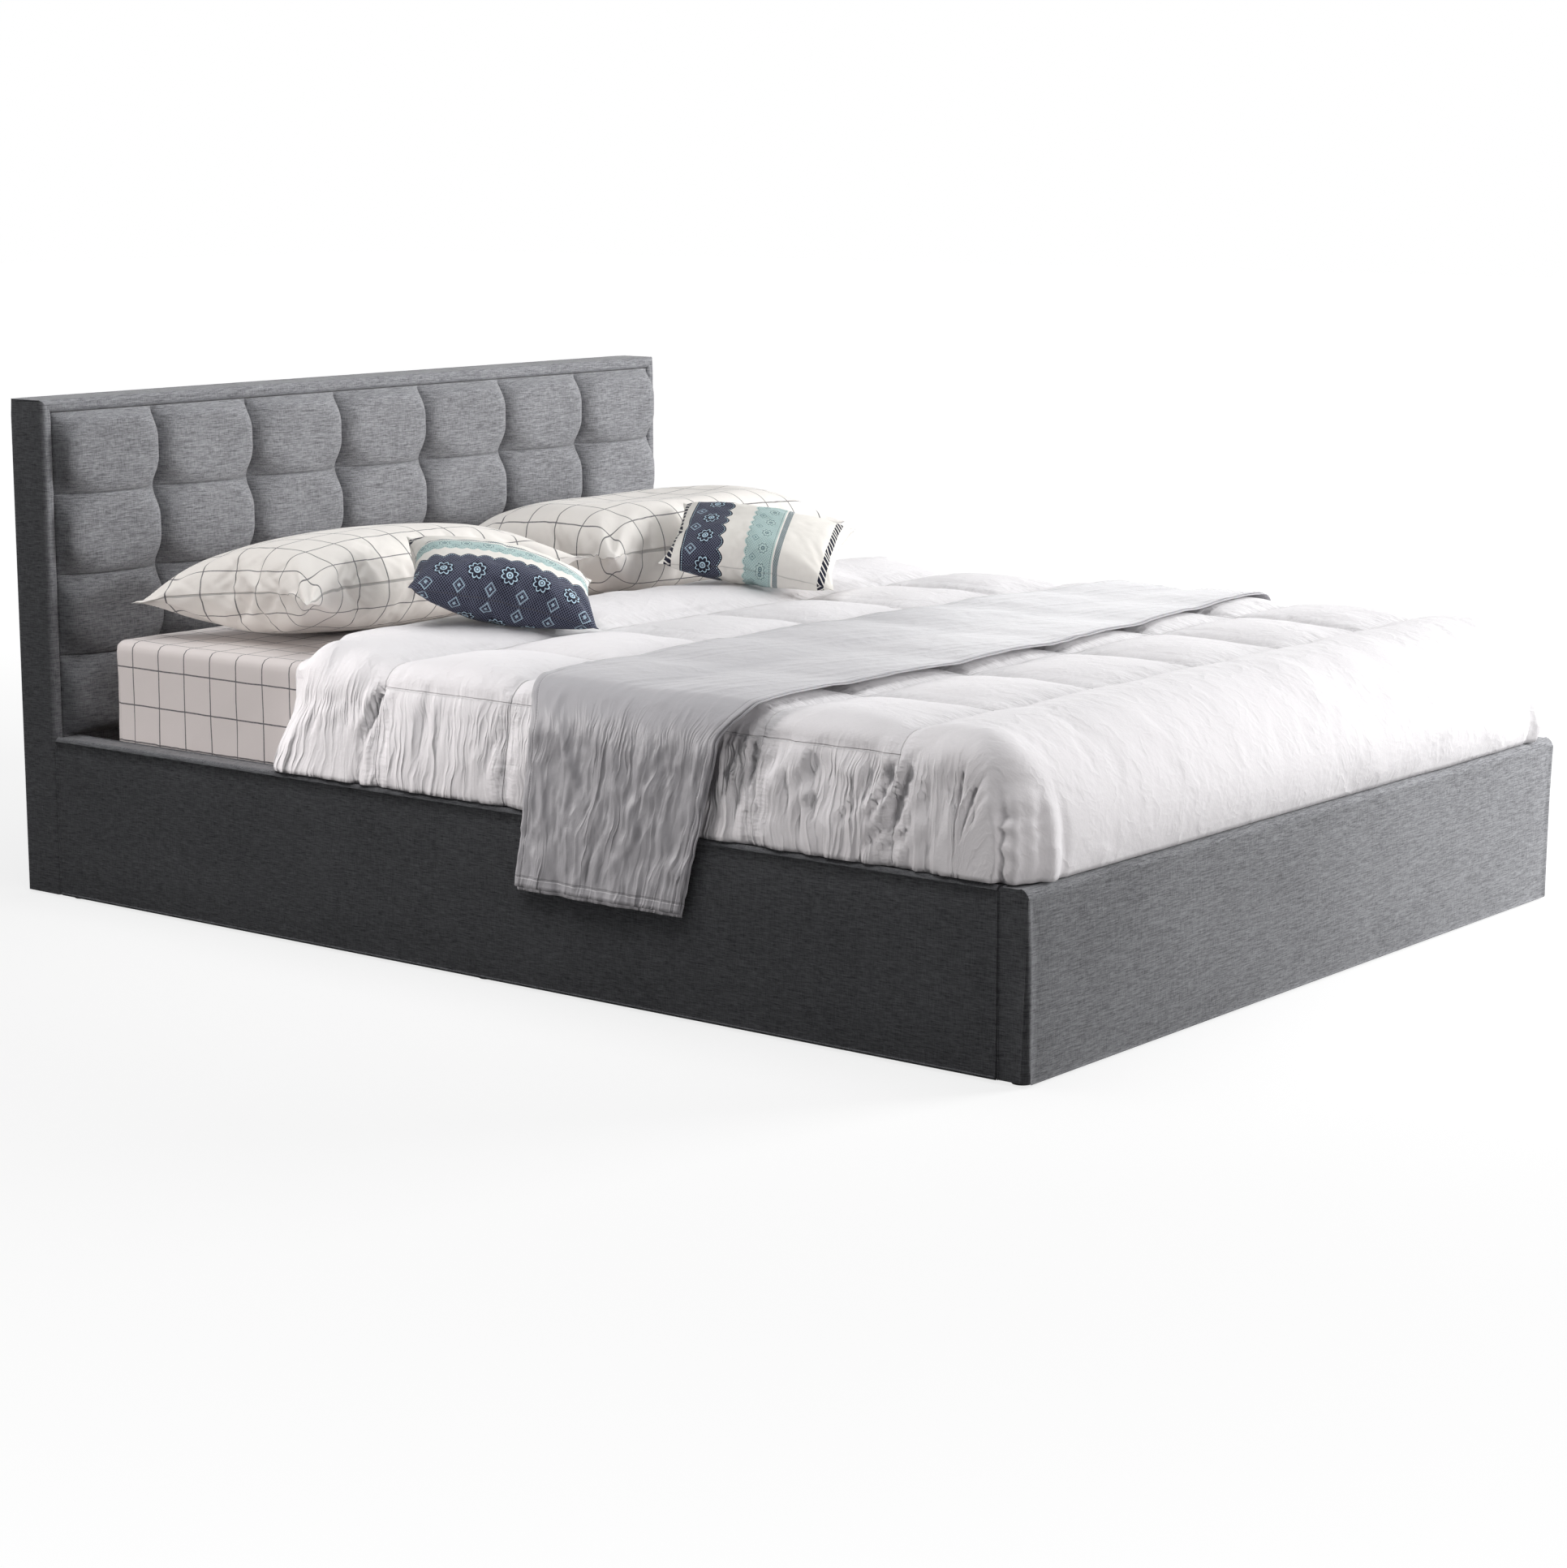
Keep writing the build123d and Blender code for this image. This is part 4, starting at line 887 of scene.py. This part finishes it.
def foldDuvet(spots, along, corner):  # the sharp folds that the cloth solver's mesh is too coarse for
    shape = duvetShape
    x, y, z = spots.T
    onSide = smoothStep(0.79, 0.82, np.abs(x))
    onWall = smoothStep(0.50, 0.455, z) * onSide * (1 - 0.5 * corner)
    onWall = onWall * (0.12 + 0.10 * smoothStep(0.40, 0.24, along) + 1.0 * smoothStep(-0.40, -0.64, along))
    onWall = onWall * (0.5 + 0.5 * smoothStep(0.306, 0.345, z))
    lean = 0.30 * (z - 0.40) * smoothStep(-0.40, -0.64, along)
    seamFold = np.zeros(len(spots))
    for line, share in zip(shape["along"], shape["seamFolds"]):  # the cross seams run on down the wall
        offLine = along - line - 0.30 * (0.485 - z) - 0.006 * drift(z * 14, along * 0 + line * 9, 77)
        seamFold += share * (0.005 * bell(offLine, 0.03) - 0.013 * bell(offLine, 0.009))
    x += np.sign(x) * smoothStep(0.49, 0.46, z) * onSide * seamFold
    cornerX, cornerY = shape["corner"]
    aroundX, aroundY = np.abs(x) - cornerX, cornerY - y
    cornerSeed = np.where(x > 0, 6.0, 1.0)  # keeps the two corners unlike
    angle = np.arctan2(aroundY, aroundX) + 0.05 * drift(z * 12, cornerSeed, 55)
    pleats = sum(depth * bell(angle - at, width) for at, depth, width in shape["pleats"])
    pleats = pleats * np.where((aroundX > 0) & (aroundY > 0), smoothStep(0.475, 0.38, z), 0)
    x += np.sign(x) * np.cos(angle) * pleats
    y -= np.sin(angle) * pleats
    x += np.sign(x) * onWall * gathers(along + lean + 2 * (x > 0), z, 131)
    x[:] = np.clip(x, -shape["reach"], shape["reach"])
    overRail = (np.abs(x) > shape["railFace"]) | (y < shape["footFace"])
    z[:] = np.where(overRail, np.maximum(z, duvetSpec["bottom"]), z)
    inMattress = (np.abs(x) > 0.78) & (z < 0.485) & (np.abs(x) < shape["inside"]) & (y > -1.03)
    x[:] = np.where(inMattress, np.sign(x) * shape["inside"], x)


def buildDuvet():
    shape = duvetShape
    gap, columns, rows = shape["under"], shape["columns"], shape["rows"]
    outer = clothGrid("duvetTop", columns, rows, duvetOuter, duvetOuter.size)
    u, v = gridValues(columns, rows)
    across, along = duvetOuter.flat(u, v)
    gapX, _, gapY, _, fade = quiltGaps(across, along)
    start = places(outer)
    x, _, z = start.T
    hem = (np.abs(u) > 1 - 3.2 / (columns + 1)) | (v < -1 + 3.2 / (rows + 1)) | (v > 1 - 7.5 / (rows + 1))
    onSeam = (gapX < duvetOuter.size[0] / columns * 0.51) & (fade > 0.99)
    onSeam = onSeam | ((gapY < duvetOuter.size[1] / rows * 0.51) & (z > 0.38))
    wall = (1 - smoothStep(0.47, 0.50, z)) * smoothStep(0.74, 0.82, np.abs(x))
    inflate(outer, shape, np.nonzero(onSeam | hem)[0], np.maximum(wall, 0.2 * (along > shape["along"][0])))
    corner = smoothStep(-0.05, 0.05, np.minimum(np.abs(across) - 0.79, -0.985 - along))
    spots = start + (places(outer) - start) * (1 - corner)[:, None]  # the corner keeps its own fold
    foldDuvet(spots, along, corner)
    setPlaces(outer, spots)
    tree = BVHTree.FromObject(outer, bpy.context.evaluated_depsgraph_get())
    innerSpec = {"half": sheetHigh.x + gap, "sideRound": 0.02, "foot": sheetLow.y - gap, "footRound": 0.02,
                 "head": duvetHigh.y, "middle": bedMiddle, "top": sheetHigh.z + gap, "bottom": duvetSpec["bottom"]}
    under = clothGrid("duvetUnder", columns, rows, wrap(innerSpec), duvetOuter.size)
    share = smoothStep(0, 0.02, np.minimum(np.minimum(1 - np.abs(u), v + 1), 1 - v))[:, None]
    setPlaces(under, spots * (1 - share) + places(under) * share)
    duvet = join(outer, under, "duvetQuilt")
    smooth(duvet)
    settle(duvet, "platform", duvetCotton, ["duvet"])
    return tree


duvetTree = buildDuvet()
print("duvet made")

# The throw laid across the duvet and hanging over both rails
throwShape = {"thickness": 0.0016, "bottom": 0.180, "wall": 0.8705, "round": 0.055, "top": 0.527, "columns": 380,
              "rows": 96, "foldDepth": 0.0045, "crinkle": 0.0006, "hemStitch": 0.017, "edgeStitch": 0.216,
              "probe": 0.08, "probeRun": 0.12, "gap": 0.0012, "printWidth": 0.46}
throwEdges = {"x": [-0.90, -0.80, -0.60, -0.30, 0.0, 0.4, 0.7, 0.9],
              "head": [-0.140, -0.135, -0.120, -0.108, -0.110, -0.140, -0.200, -0.225],
              "foot": [-0.590, -0.594, -0.580, -0.590, -0.586, -0.560, -0.535, -0.530]}


def throwLine(bottom):  # from hem to hem across the bed, with the way out of the cloth at each place
    bend, top = throwShape["round"], throwShape["top"]
    flatHalf = throwShape["wall"] - bend
    total = flatHalf + bend * math.pi / 2 + top - bend - bottom

    def line(u):
        d = np.abs(u) * total
        arc = np.clip((d - flatHalf) / bend, 0, math.pi / 2)
        x = np.minimum(d, flatHalf) + bend * np.sin(arc)
        z = top - bend * (1 - np.cos(arc)) - np.maximum(d - flatHalf - bend * math.pi / 2, 0)
        return np.sign(u) * x, z, np.sign(u) * np.sin(arc), np.cos(arc)

    return line, total


def spread(values, reach):  # highest value nearby
    for axis in (0, 1):
        values = np.max([np.roll(values, shift, axis) for shift in range(-reach, reach + 1)], axis=0)
    return values


def blur(values, reach, rounds=3):
    window = 2 * reach + 1
    for axis in (0, 1) * rounds:
        ends = [np.take(values, [end] * reach, axis) for end in (0, -1)]
        total = np.cumsum(np.insert(np.concatenate([ends[0], values, ends[1]], axis), 0, 0, axis), axis)
        first = np.arange(values.shape[axis])
        values = (np.take(total, first + window, axis) - np.take(total, first, axis)) / window
    return values


hemLine = throwLine(throwShape["bottom"])[1] - throwShape["hemStitch"]
throwCloth = cottonMaterial("throwCloth", rgb(170, 169, 173), sheen=0.2, crumple=0.0016, spread=0.08, roughness=0.5,
                            gloss=0.45, gathers=(0.0060, {"Start": 0.885, "Top": 0.08, "Scale": 0.8}),
                            stitched=[([-hemLine, hemLine], 0),
                                      ([-throwShape["edgeStitch"], throwShape["edgeStitch"]], 1)])


def throwLayer(name, bottom, shift, lift, seed):
    shape = throwShape
    columns, rows = shape["columns"], shape["rows"]
    line, total = throwLine(bottom)

    def base(u, v):
        x, z, _, _ = line(u)
        hang = np.clip((0.45 - z) / 0.27, 0, 1)
        bent = smoothStep(0.535, 0.46, z)
        near = x < 0
        head = np.interp(x, throwEdges["x"], throwEdges["head"])
        head = head + np.where(near, 0.042 * hang - 0.024 * bent, -0.02 * hang)
        foot = np.interp(x, throwEdges["x"], throwEdges["foot"])
        foot = foot + np.where(near, 0.074 * hang + 0.042 * bent, 0.03 * hang)
        waver = 0.003 * drift(x * 7 + 3 * v, z * 7, seed)
        return np.stack([x, (head + foot) / 2 + v * (head - foot) / 2 + waver + shift, z], axis=1)

    piece = clothGrid(name, columns, rows, base, (2 * total, shape["printWidth"]))
    u, _ = gridValues(columns, rows)
    spots = places(piece)
    _, z, outX, outZ = line(u)
    reach = np.full(len(spots), -0.02)
    for index, (spot, x, up) in enumerate(zip(spots, outX, outZ)):
        out = Vector((x, 0, up))
        distance = duvetTree.ray_cast(Vector(spot) + out * shape["probe"], -out, shape["probeRun"])[3]
        if distance is not None:
            reach[index] = shape["probe"] - distance
    hang = 1 - smoothStep(0.44, 0.505, z)
    grid = (rows + 1, columns + 1)
    reach = np.maximum(reach, -0.016 * (1 - hang)).reshape(grid)
    atBend = bell(z - 0.485, 0.04).reshape(grid)  # it follows the duvet's shoulder closely
    over = blur(spread(reach, 9), 5) * (1 - atBend) + blur(spread(reach, 3), 3) * atBend
    over = np.maximum(over, blur(reach, 1, 1) - 0.0005).ravel()
    x, y = spots[:, 0], spots[:, 1]
    folds = shape["foldDepth"] * (0.55 + 0.6 * drift(y * 10 + 5 * np.sign(x), z * 2.1, seed + 1, 3))
    folds += 0.0030 * creases(y * 15 - z * 5, z * 5, seed + 2) + 0.0020 * creases(y * 34 + z * 4, z * 9, seed + 3, 3)
    folds += 0.0014 * drift(y * 70, z * 30, seed + 7, 2) + 0.22 * gathers(y + 3 * (x > 0), z, seed + 8)
    crinkle = shape["crinkle"] * drift(x * 26 + z * 26, y * 26, seed + 4, 3)
    crinkle += 0.0024 * bell(z - 0.50, 0.03) * creases(y * 30 + x * 8, z * 9, seed + 5) ** 2
    laid = (1 - hang) * (0.0006 * creases(x * 4, y * 7, seed + 6) + 0.0016)
    rise = over + hang * folds * smoothStep(0, 0.10, 0.53 - z) + crinkle + laid + lift + shape["gap"]
    spots[:, 0] += outX * rise
    spots[:, 2] += outZ * rise
    setPlaces(piece, spots)
    applyModifier(piece, "SOLIDIFY", thickness=shape["thickness"], offset=1)
    smooth(piece)
    settle(piece, "platform", throwCloth, ["runner"])
    2 * total


throwLayer("throwRunner", throwShape["bottom"], 0.0, 0.0018, 41)
throwLayer("throwLining", throwShape["bottom"] - 0.006, -0.006, -0.0002, 41)
print("throw made")

# Pillows and small cushions: two rectangles sewn round their edge and blown up, so the edge puckers
earShape = {"flat": 0.72, "outX": 0.22, "outY": 0.16, "fan": 0.13, "soft": 0.006}


def buildStuffed(kind, sideName, make, material, centre, turn):
    length, width, height = make["sizes"]
    name, node = f"{kind}{sideName.title()}", f"{kind}_{sideName}"
    rise, draw = ((0.35, 0.0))  # the shell starts partly filled, before it is blown up

    def face(sign):
        def surface(u, v):
            full = np.clip((1 - np.abs(u) ** 2.4) * (1 - np.abs(v) ** 2.4), 0, 1) ** 0.6
            x = u * length / 2 * (1 - draw * (1 - v ** 2) * np.abs(u) ** 3)
            y = v * width / 2 * (1 - draw * (1 - u ** 2) * np.abs(v) ** 3)
            uneven = 0.003 * drift(u * 6 + sign * 3, v * 4, make["seed"]) * full
            return np.stack([x, y, sign * (height / 2 * rise * full + uneven)], axis=1)
        return surface

    piece = join(clothGrid(name, *make["grid"], face(1), (length, width)),
                 clothGrid(name + "Under", *make["grid"], face(-1), (length, width)), name)
    inflate(piece, make)
    spots = places(piece)
    low, high = spots.min(0), spots.max(0)
    spots = (spots - (low + high) / 2) * np.array(make["sizes"]) / (high - low)
    x, y, z = spots.T
    toCorner = np.hypot(np.abs(x) - length / 2, np.abs(y) - width / 2)
    ear = bell(toCorner, make["ear"])  # the corners end in flat pinched ears
    z *= 1 - earShape["flat"] * ear
    x += np.sign(x) * ear * make["ear"] * earShape["outX"]
    y += np.sign(y) * ear * make["ear"] * earShape["outY"]
    turned = np.arctan2(width / 2 - np.abs(y), length / 2 - np.abs(x))
    fan = bell(toCorner, 2.6 * make["ear"]) * (1 - bell(toCorner, 0.45 * make["ear"]))
    wave = np.sin(turned * 11 + 2.6 * np.sign(x) + 1.7 * np.sign(y) + 14 * toCorner)
    z += np.sign(z) * fan * (wave - 0.4) * make["ear"] * earShape["fan"]
    z += ear * np.take(make["lift"], (x >= 0) + 2 * (y >= 0))
    spots = spots @ np.array(turn.to_3x3()).T + np.array(centre)
    under = make["level"] - spots[:, 2]  # flat only where it rests
    soft = earShape["soft"]
    spots[:, 2] += np.where(under > 0, under, 0) + soft * np.exp(-np.abs(under) / soft) * 0.5 * (under > -3 * soft)
    setPlaces(piece, spots)
    applyModifier(piece, "SUBSURF", levels=1, render_levels=1)
    smooth(piece)
    settle(piece, "platform", material, [node])


pillowMake = {"sizes": (0.735, 0.466, 0.19), "grid": (92, 60), "frames": 18, "bending": 0.2, "cap": 0.12, "fill": 0.6,
              "level": sheetHigh.z + 0.0018}
pillowMakes = {"left": {"pressure": 5.0, "seed": 61, "lean": 5, "ear": 0.055, "lift": (-0.018, 0.0, -0.012, 0.0)},
               "right": {"pressure": 4.5, "seed": 71, "lean": 3, "ear": 0.05, "lift": (0.0, 0.01, 0.0, -0.01)}}
for sideName, make in pillowMakes.items():
    low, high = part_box(f"pillow_{sideName}")
    buildStuffed("pillow", sideName, {**pillowMake, **make}, pillowGrid, (low + high) / 2,
                 Matrix.Rotation(math.radians(-make["lean"]), 4, "X"))

cushionMake = {"sizes": (0.348, 0.224, 0.128), "grid": (66, 44), "frames": 16, "pressure": 5.0, "bending": 0.2,
               "cap": 0.12, "fill": 0.7, "ear": 0.022, "level": 0.527}
cushionMakes = {"left": {"place": (-0.420, 0.325, 0.6048), "angles": (-3, 22, -40), "seed": 81,
                         "lift": (0, 0, 0.004, 0)},
                "right": {"place": (0.320, 0.322, 0.6077), "angles": (-47, 28, -16), "seed": 91,
                          "lift": (0.003, 0, 0, 0)}}
cushionHalf = [size / 2 for size in cushionMake["sizes"][:2]]
edgeSeams = [([-half, half], axis, None, 0.0012) for axis, half in enumerate(cushionHalf)]
cushionBands = {
    "left": ("laceStripeLong", 0,
             {"Low": -0.120, "High": -0.036, "ScallopLow": 0.0, "ScallopHigh": 0.010, "Pitch": 0.029},
             {"Low": -0.004, "High": 0.028, "ScallopLow": 0.005, "ScallopHigh": 0.0, "Pitch": 0.019},
             [(0.031, 0.036, "sageDark", 0.0021), (0.082, 0.094, "navy", 0.0045)]),
    "right": ("laceStripeCross", 1,
              {"Low": -0.135, "High": -0.062, "ScallopLow": 0.0, "ScallopHigh": 0.009, "Pitch": 0.028},
              {"Low": -0.008, "High": 0.046, "ScallopLow": 0.005, "ScallopHigh": 0.0, "Pitch": 0.018},
              [(0.049, 0.059, "sageDark", 0.0021), (0.140, 0.153, "navy", 0.006), (-0.162, -0.150, "navy", 0.006)])}
for sideName, make in cushionMakes.items():
    clothName, *bands = cushionBands[sideName]
    laceCloth = cottonMaterial(clothName, cushionColours["linen"], crumple=0.001, seams=edgeSeams,
                               bands=printedBands(*bands))
    turn, lean, spin = (math.radians(angle) for angle in make["angles"])
    matrix = Matrix.Rotation(turn, 4, "Z") @ Matrix.Rotation(lean, 4, "X") @ Matrix.Rotation(spin, 4, "Z")
    buildStuffed("cushion", sideName, {**cushionMake, **make}, laceCloth, make["place"], matrix)
print("pillows and cushions made")

# The strap that lifts the platform: a loop of webbing sewn to the foot tube
strapSizes = {"width": 0.038, "thickness": 0.0016, "bulge": 0.011, "ribs": 26, "ribHeight": 0.0001,
              "columns": 104, "rows": 22, "clear": 0.0012}
strapWebbing = cottonMaterial("strapWebbing", rgb(62, 62, 66), crumple=0.0006, spread=0.2,
                              stitched=[([-0.016, 0.016], 0), ([-0.014, 0.014], 1)])


def buildStrap():
    low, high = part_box("pull_strap")
    middle, half = (low.z + high.z) / 2, (high.z - low.z) / 2 - 0.001

    def loop(u, v):
        rib = strapSizes["ribHeight"] * np.cos(u * math.pi * strapSizes["ribs"])
        y = high.y - strapSizes["clear"] - strapSizes["bulge"] * np.clip(1 - v ** 2, 0, 1) ** 0.7 - rib
        z = middle + half * v * (1 - 0.10 * (1 - v ** 2))
        x = u * strapSizes["width"] / 2 + 0.0004 * drift(u * 3, v * 5, 51)
        return np.stack([x, y, z], axis=1)

    line = loop(np.zeros(200), np.linspace(-1, 1, 200))
    length = float(np.linalg.norm(np.diff(line, axis=0), axis=1).sum())
    strap = clothGrid("pullStrap", strapSizes["columns"], strapSizes["rows"], loop, (strapSizes["width"], length))
    applyModifier(strap, "SOLIDIFY", thickness=strapSizes["thickness"], offset=-1)
    smooth(strap)
    settle(strap, "platform", strapWebbing, ["pull_strap"])


buildStrap()
print("strap made")


# Finishes of the frame, lift and slats, which keep their own solids
def makeGrainGroup():
    group, (vector, dark, light, ringCount, fibreShare) = newGroup(
        "woodGrain", Vector=None, Dark=(0.3, 0.2, 0.1, 1), Light=(0.6, 0.4, 0.2, 1), Rings=6.0, Fibre=1.0)
    bend = place("TexNoise", Vector=vector, Scale=1.4, Detail=2.0)
    _, y, z = split(vector)
    rings = maths("SINE", (y + z + bend * 3.0) * ringCount)
    fibres = noiseAt(vector, 9.0, (0.5, 12, 12), 4.0)
    mixed = (rings * 0.22 + 0.5 + (fibres - 0.5) * fibreShare).clamped()
    return closeGroup(group, Color=mixColour(mixed, light, dark), Roughness=fibres * 0.25 + 0.42, Height=fibres)


def makeSpeckGroup():
    group, (vector, base, worn, scale, rough, spread) = newGroup(
        "fineSpeck", Vector=None, Base=(0.1, 0.1, 0.1, 1), Worn=(0.2, 0.2, 0.2, 1), Scale=900.0, Rough=0.5, Spread=0.2)
    grain = place("TexNoise", Vector=vector, Scale=scale, Detail=3.0)
    patches = place("TexNoise", Vector=vector, Scale=14.0, Detail=5.0, Roughness=0.62)
    rubbed = ramp(patches, 0.5, 0.78, 0.0, 0.7)
    return closeGroup(group, Color=mixColour(rubbed, base, worn), Roughness=rough + (patches - 0.5) * spread,
                      Height=grain)


woodGrain = makeGrainGroup()
fineSpeck = makeSpeckGroup()


def woodFinish(name, dark, light, rings, stretch, fibre=0.9, coat=0.0):
    material, tree = newMaterial(name, Coat_Weight=coat, Coat_Roughness=0.25, Specular_IOR_Level=0.4)
    grain = useGroup(woodGrain, Vector=objectSpot(tree, stretch), Dark=dark, Light=light, Rings=rings, Fibre=fibre)
    return dress(material, grain["Color"], grain["Height"], 0.0006, roughness=grain["Roughness"])


def speckFinish(name, base, worn, scale, rough, metallic=0.0, spread=0.2, depth=0.0003, stretch=(1, 1, 1), coat=0.0,
                gloss=0.5):
    material, tree = newMaterial(name, Metallic=metallic, Coat_Weight=coat, Coat_Roughness=0.2,
                                 Specular_IOR_Level=gloss)
    specks = useGroup(fineSpeck, Vector=objectSpot(tree, stretch), Base=base, Worn=worn, Scale=scale, Rough=rough,
                      Spread=spread)
    return dress(material, specks["Color"], specks["Height"], depth, roughness=specks["Roughness"])


def boardFinish(name):  # pressed chips
    material, tree = newMaterial(name, Specular_IOR_Level=0.3)
    spot = objectSpot(tree, (1, 1.6, 1))
    tone, relief, _ = split(place("TexVoronoi", output="Color", Vector=spot, Scale=210.0))
    dust = noiseAt(spot, 40.0)
    colour = mixColour(tone * 0.65 + dust * 0.35, rgb(150, 120, 84), rgb(214, 186, 142))
    return dress(material, colour, relief, 0.0005, 0.4, dust * 0.2 + 0.7)


def liningFinish(name):  # spun cloth pressed with small dimples
    material, tree = newMaterial(name, Specular_IOR_Level=0.2, Sheen_Weight=0.2)
    spot = objectSpot(tree)
    dimples = place("TexVoronoi", output="Distance", Vector=spot, Scale=420.0, Randomness=0.15)
    hairs = noiseAt(spot, 1.0, (120, 120, 900), 4.0)
    colour = mixColour(hairs, rgb(56, 56, 59), rgb(96, 96, 100))
    return dress(material, colour, dimples + hairs * 0.4, 0.0006, 0.6, hairs * 0.15 + 0.78)


frameFinishes = {
    "upholstery": greyLinen,
    "timber": woodFinish("pinePlaned", rgb(186, 142, 92), rgb(224, 190, 140), 5.0, (1.2, 9, 9)),
    "slat_wood": woodFinish("birchVeneer", rgb(206, 172, 124), rgb(232, 208, 168), 2.2, (1.6, 14, 14), 0.6, 0.25),
    "board": boardFinish("chipBoard"),
    "lining": liningFinish("spunLining"),
    "lift_steel": speckFinish("powderBlack", rgb(38, 38, 40), rgb(62, 62, 64), 1500.0, 0.48, spread=0.25),
    "tube_steel": speckFinish("powderGrey", rgb(122, 124, 128), rgb(140, 142, 146), 1500.0, 0.45, spread=0.25),
    "strut_black": speckFinish("lacqueredBlack", rgb(24, 24, 26), rgb(44, 44, 47), 800.0, 0.32, coat=0.4),
    "rod_steel": speckFinish("polishedRod", rgb(200, 201, 205), rgb(176, 177, 182), 700.0, 0.16, metallic=1.0,
                             spread=0.15, depth=0.0001, stretch=(6, 1, 1)),
    "bolt_steel": speckFinish("zincPlate", rgb(176, 178, 184), rgb(150, 150, 150), 500.0, 0.34, metallic=1.0,
                              spread=0.4),
    "cap_plastic": speckFinish("mouldedCap", rgb(34, 34, 36), rgb(46, 46, 49), 1900.0, 0.55, depth=0.0005),
    "glide_plastic": speckFinish("mouldedGlide", rgb(30, 30, 31), rgb(66, 64, 62), 1700.0, 0.6, depth=0.0005),
    "pad_rubber": speckFinish("padRubber", rgb(30, 30, 30), rgb(58, 57, 55), 1100.0, 0.82, depth=0.0007, gloss=0.2)}
for node in frame["nodes"].values():
    for holder in node.material_slots:
        if holder.material and holder.material.name in frameFinishes:
            holder.material = frameFinishes[holder.material.name]
print("frame finishes given")

# Camera, lamps and floor
view = {"place": (-5.0418, -3.976, 1.3841), "tilt": 90 - 10.349, "turn": -51.715, "lens": 79.97, "sensor": 36}
bpy.ops.object.camera_add(location=view["place"],
                          rotation=(math.radians(view["tilt"]), 0, math.radians(view["turn"])))
camera = bpy.context.object
camera.name = "camera"
camera.data.lens = view["lens"]
camera.data.sensor_width = view["sensor"]
bpy.context.scene.camera = camera

lampSettings = {"key": {"place": (2.7, -2.7, 1.35), "size": 1.8, "power": 152, "aim": (0, -0.2, 0.4)},
                "top": {"place": (-0.9, 0.1, 3.1), "size": 2.6, "power": 44, "aim": (-0.9, 0.11, 0)},
                "far": {"place": (2.1, 0.5, 1.3), "size": 1.2, "power": 14, "aim": (0.3, -0.1, 0.5)},
                "beddingTop": {"place": (-1.2, 0.1, 3.0), "size": 2.2, "power": 11, "aim": (-0.9, 0.0, 0.4),
                               "only": ("duvetQuilt", "throw", "pillow", "cushion", "fittedSheet")},
                "beddingSide": {"place": (-3.4, 1.7, 0.95), "size": 1.0, "power": 40, "aim": (-0.8, 0, 0.42),
                                "tint": (1.0, 0.96, 0.945), "only": ("fittedSheet", "pillow")},
                "duvetSide": {"place": (-2.4, 2.15, 0.95), "size": 0.6, "power": 65, "aim": (-0.85, -0.4, 0.42),
                              "tint": (1.0, 0.965, 0.955), "only": ("duvetQuilt", "throw")},
                "beddingFoot": {"place": (-1.9, -4.1, 0.85), "size": 0.9, "power": 44, "aim": (-0.5, -1.1, 0.42),
                                "tint": (1.0, 0.97, 0.965), "only": ("duvetQuilt", "throw", "cushion")},
                "behind": {"place": (-0.5, 4.4, 0.5), "size": 0.8, "power": 90, "aim": (0, 1.14, 0.45),
                           "only": ("headboard_back", "headboardBorder")}}
for lampName, settings in lampSettings.items():
    bpy.ops.object.light_add(type="AREA", location=settings["place"])
    lamp = bpy.context.object
    lamp.name = lampName + "Lamp"
    lamp.data.size = settings["size"]
    lamp.data.energy = settings["power"]
    lamp.data.color = settings.get("tint", (1, 1, 1))
    lamp.rotation_euler = (Vector(settings["aim"]) - lamp.location).to_track_quat("-Z", "Y").to_euler()
    lamp.visible_camera = False
    if "only" in settings:  # lights these pieces and nothing else
        chosen = bpy.data.collections.new(lampName + "Set")
        for piece in bpy.data.objects:
            if piece.name.startswith(settings["only"]):
                chosen.objects.link(piece)
        lamp.light_linking.receiver_collection = chosen

clearSelection()
floorTones = {"size": 60, "near": 1.6, "far": 5.0, "glowNear": 0.80, "glowFar": 1.0, "matt": (0.3, 0.3, 0.3, 1)}
bpy.ops.mesh.primitive_plane_add(size=floorTones["size"], location=(0, 0, 0))
floor = named(bpy.context.object, "floor")
floorMaterial, floorTree = newMaterial("paleFloor", Roughness=0.9, Specular_IOR_Level=0.0,
                                       Base_Color=(0.15, 0.15, 0.15, 1))
away = place("VectorMath", {"operation": "LENGTH"}, "Value", at0=objectSpot(floorTree))
glow = ramp(away, *(floorTones[key] for key in ("near", "far", "glowNear", "glowFar")))
shine = place("Emission", Color=(1, 1, 1, 1), Strength=glow)
matt = place("BsdfDiffuse", tree=floorTree, Color=floorTones["matt"])
shown = place("MixShader", at0=place("LightPath", output="Is Camera Ray", tree=floorTree),
              at1=Wire(floorTree.nodes["Principled BSDF"].outputs[0]), at2=place("AddShader", at0=shine, at1=matt))
feed(floorTree.nodes["Material Output"].inputs[0], shown)
floor.data.materials.append(floorMaterial)

world = bpy.data.worlds.new("studio")
bpy.context.scene.world = world
world.use_nodes = True
rays = place("LightPath", tree=world.node_tree).socket.node.outputs
seenRays = [Wire(rays[f"Is {kind} Ray"]) for kind in ("Camera", "Glossy", "Transmission")]
backdrop = mixColour(most(most(*seenRays[:2]), seenRays[2]), (0.05, 0.05, 0.052, 1), (1, 1, 1, 1))
feed(world.node_tree.nodes["Background"].inputs[0], backdrop)
bpy.context.scene.view_settings.view_transform = "Standard"
print("camera, lamps and floor ready")
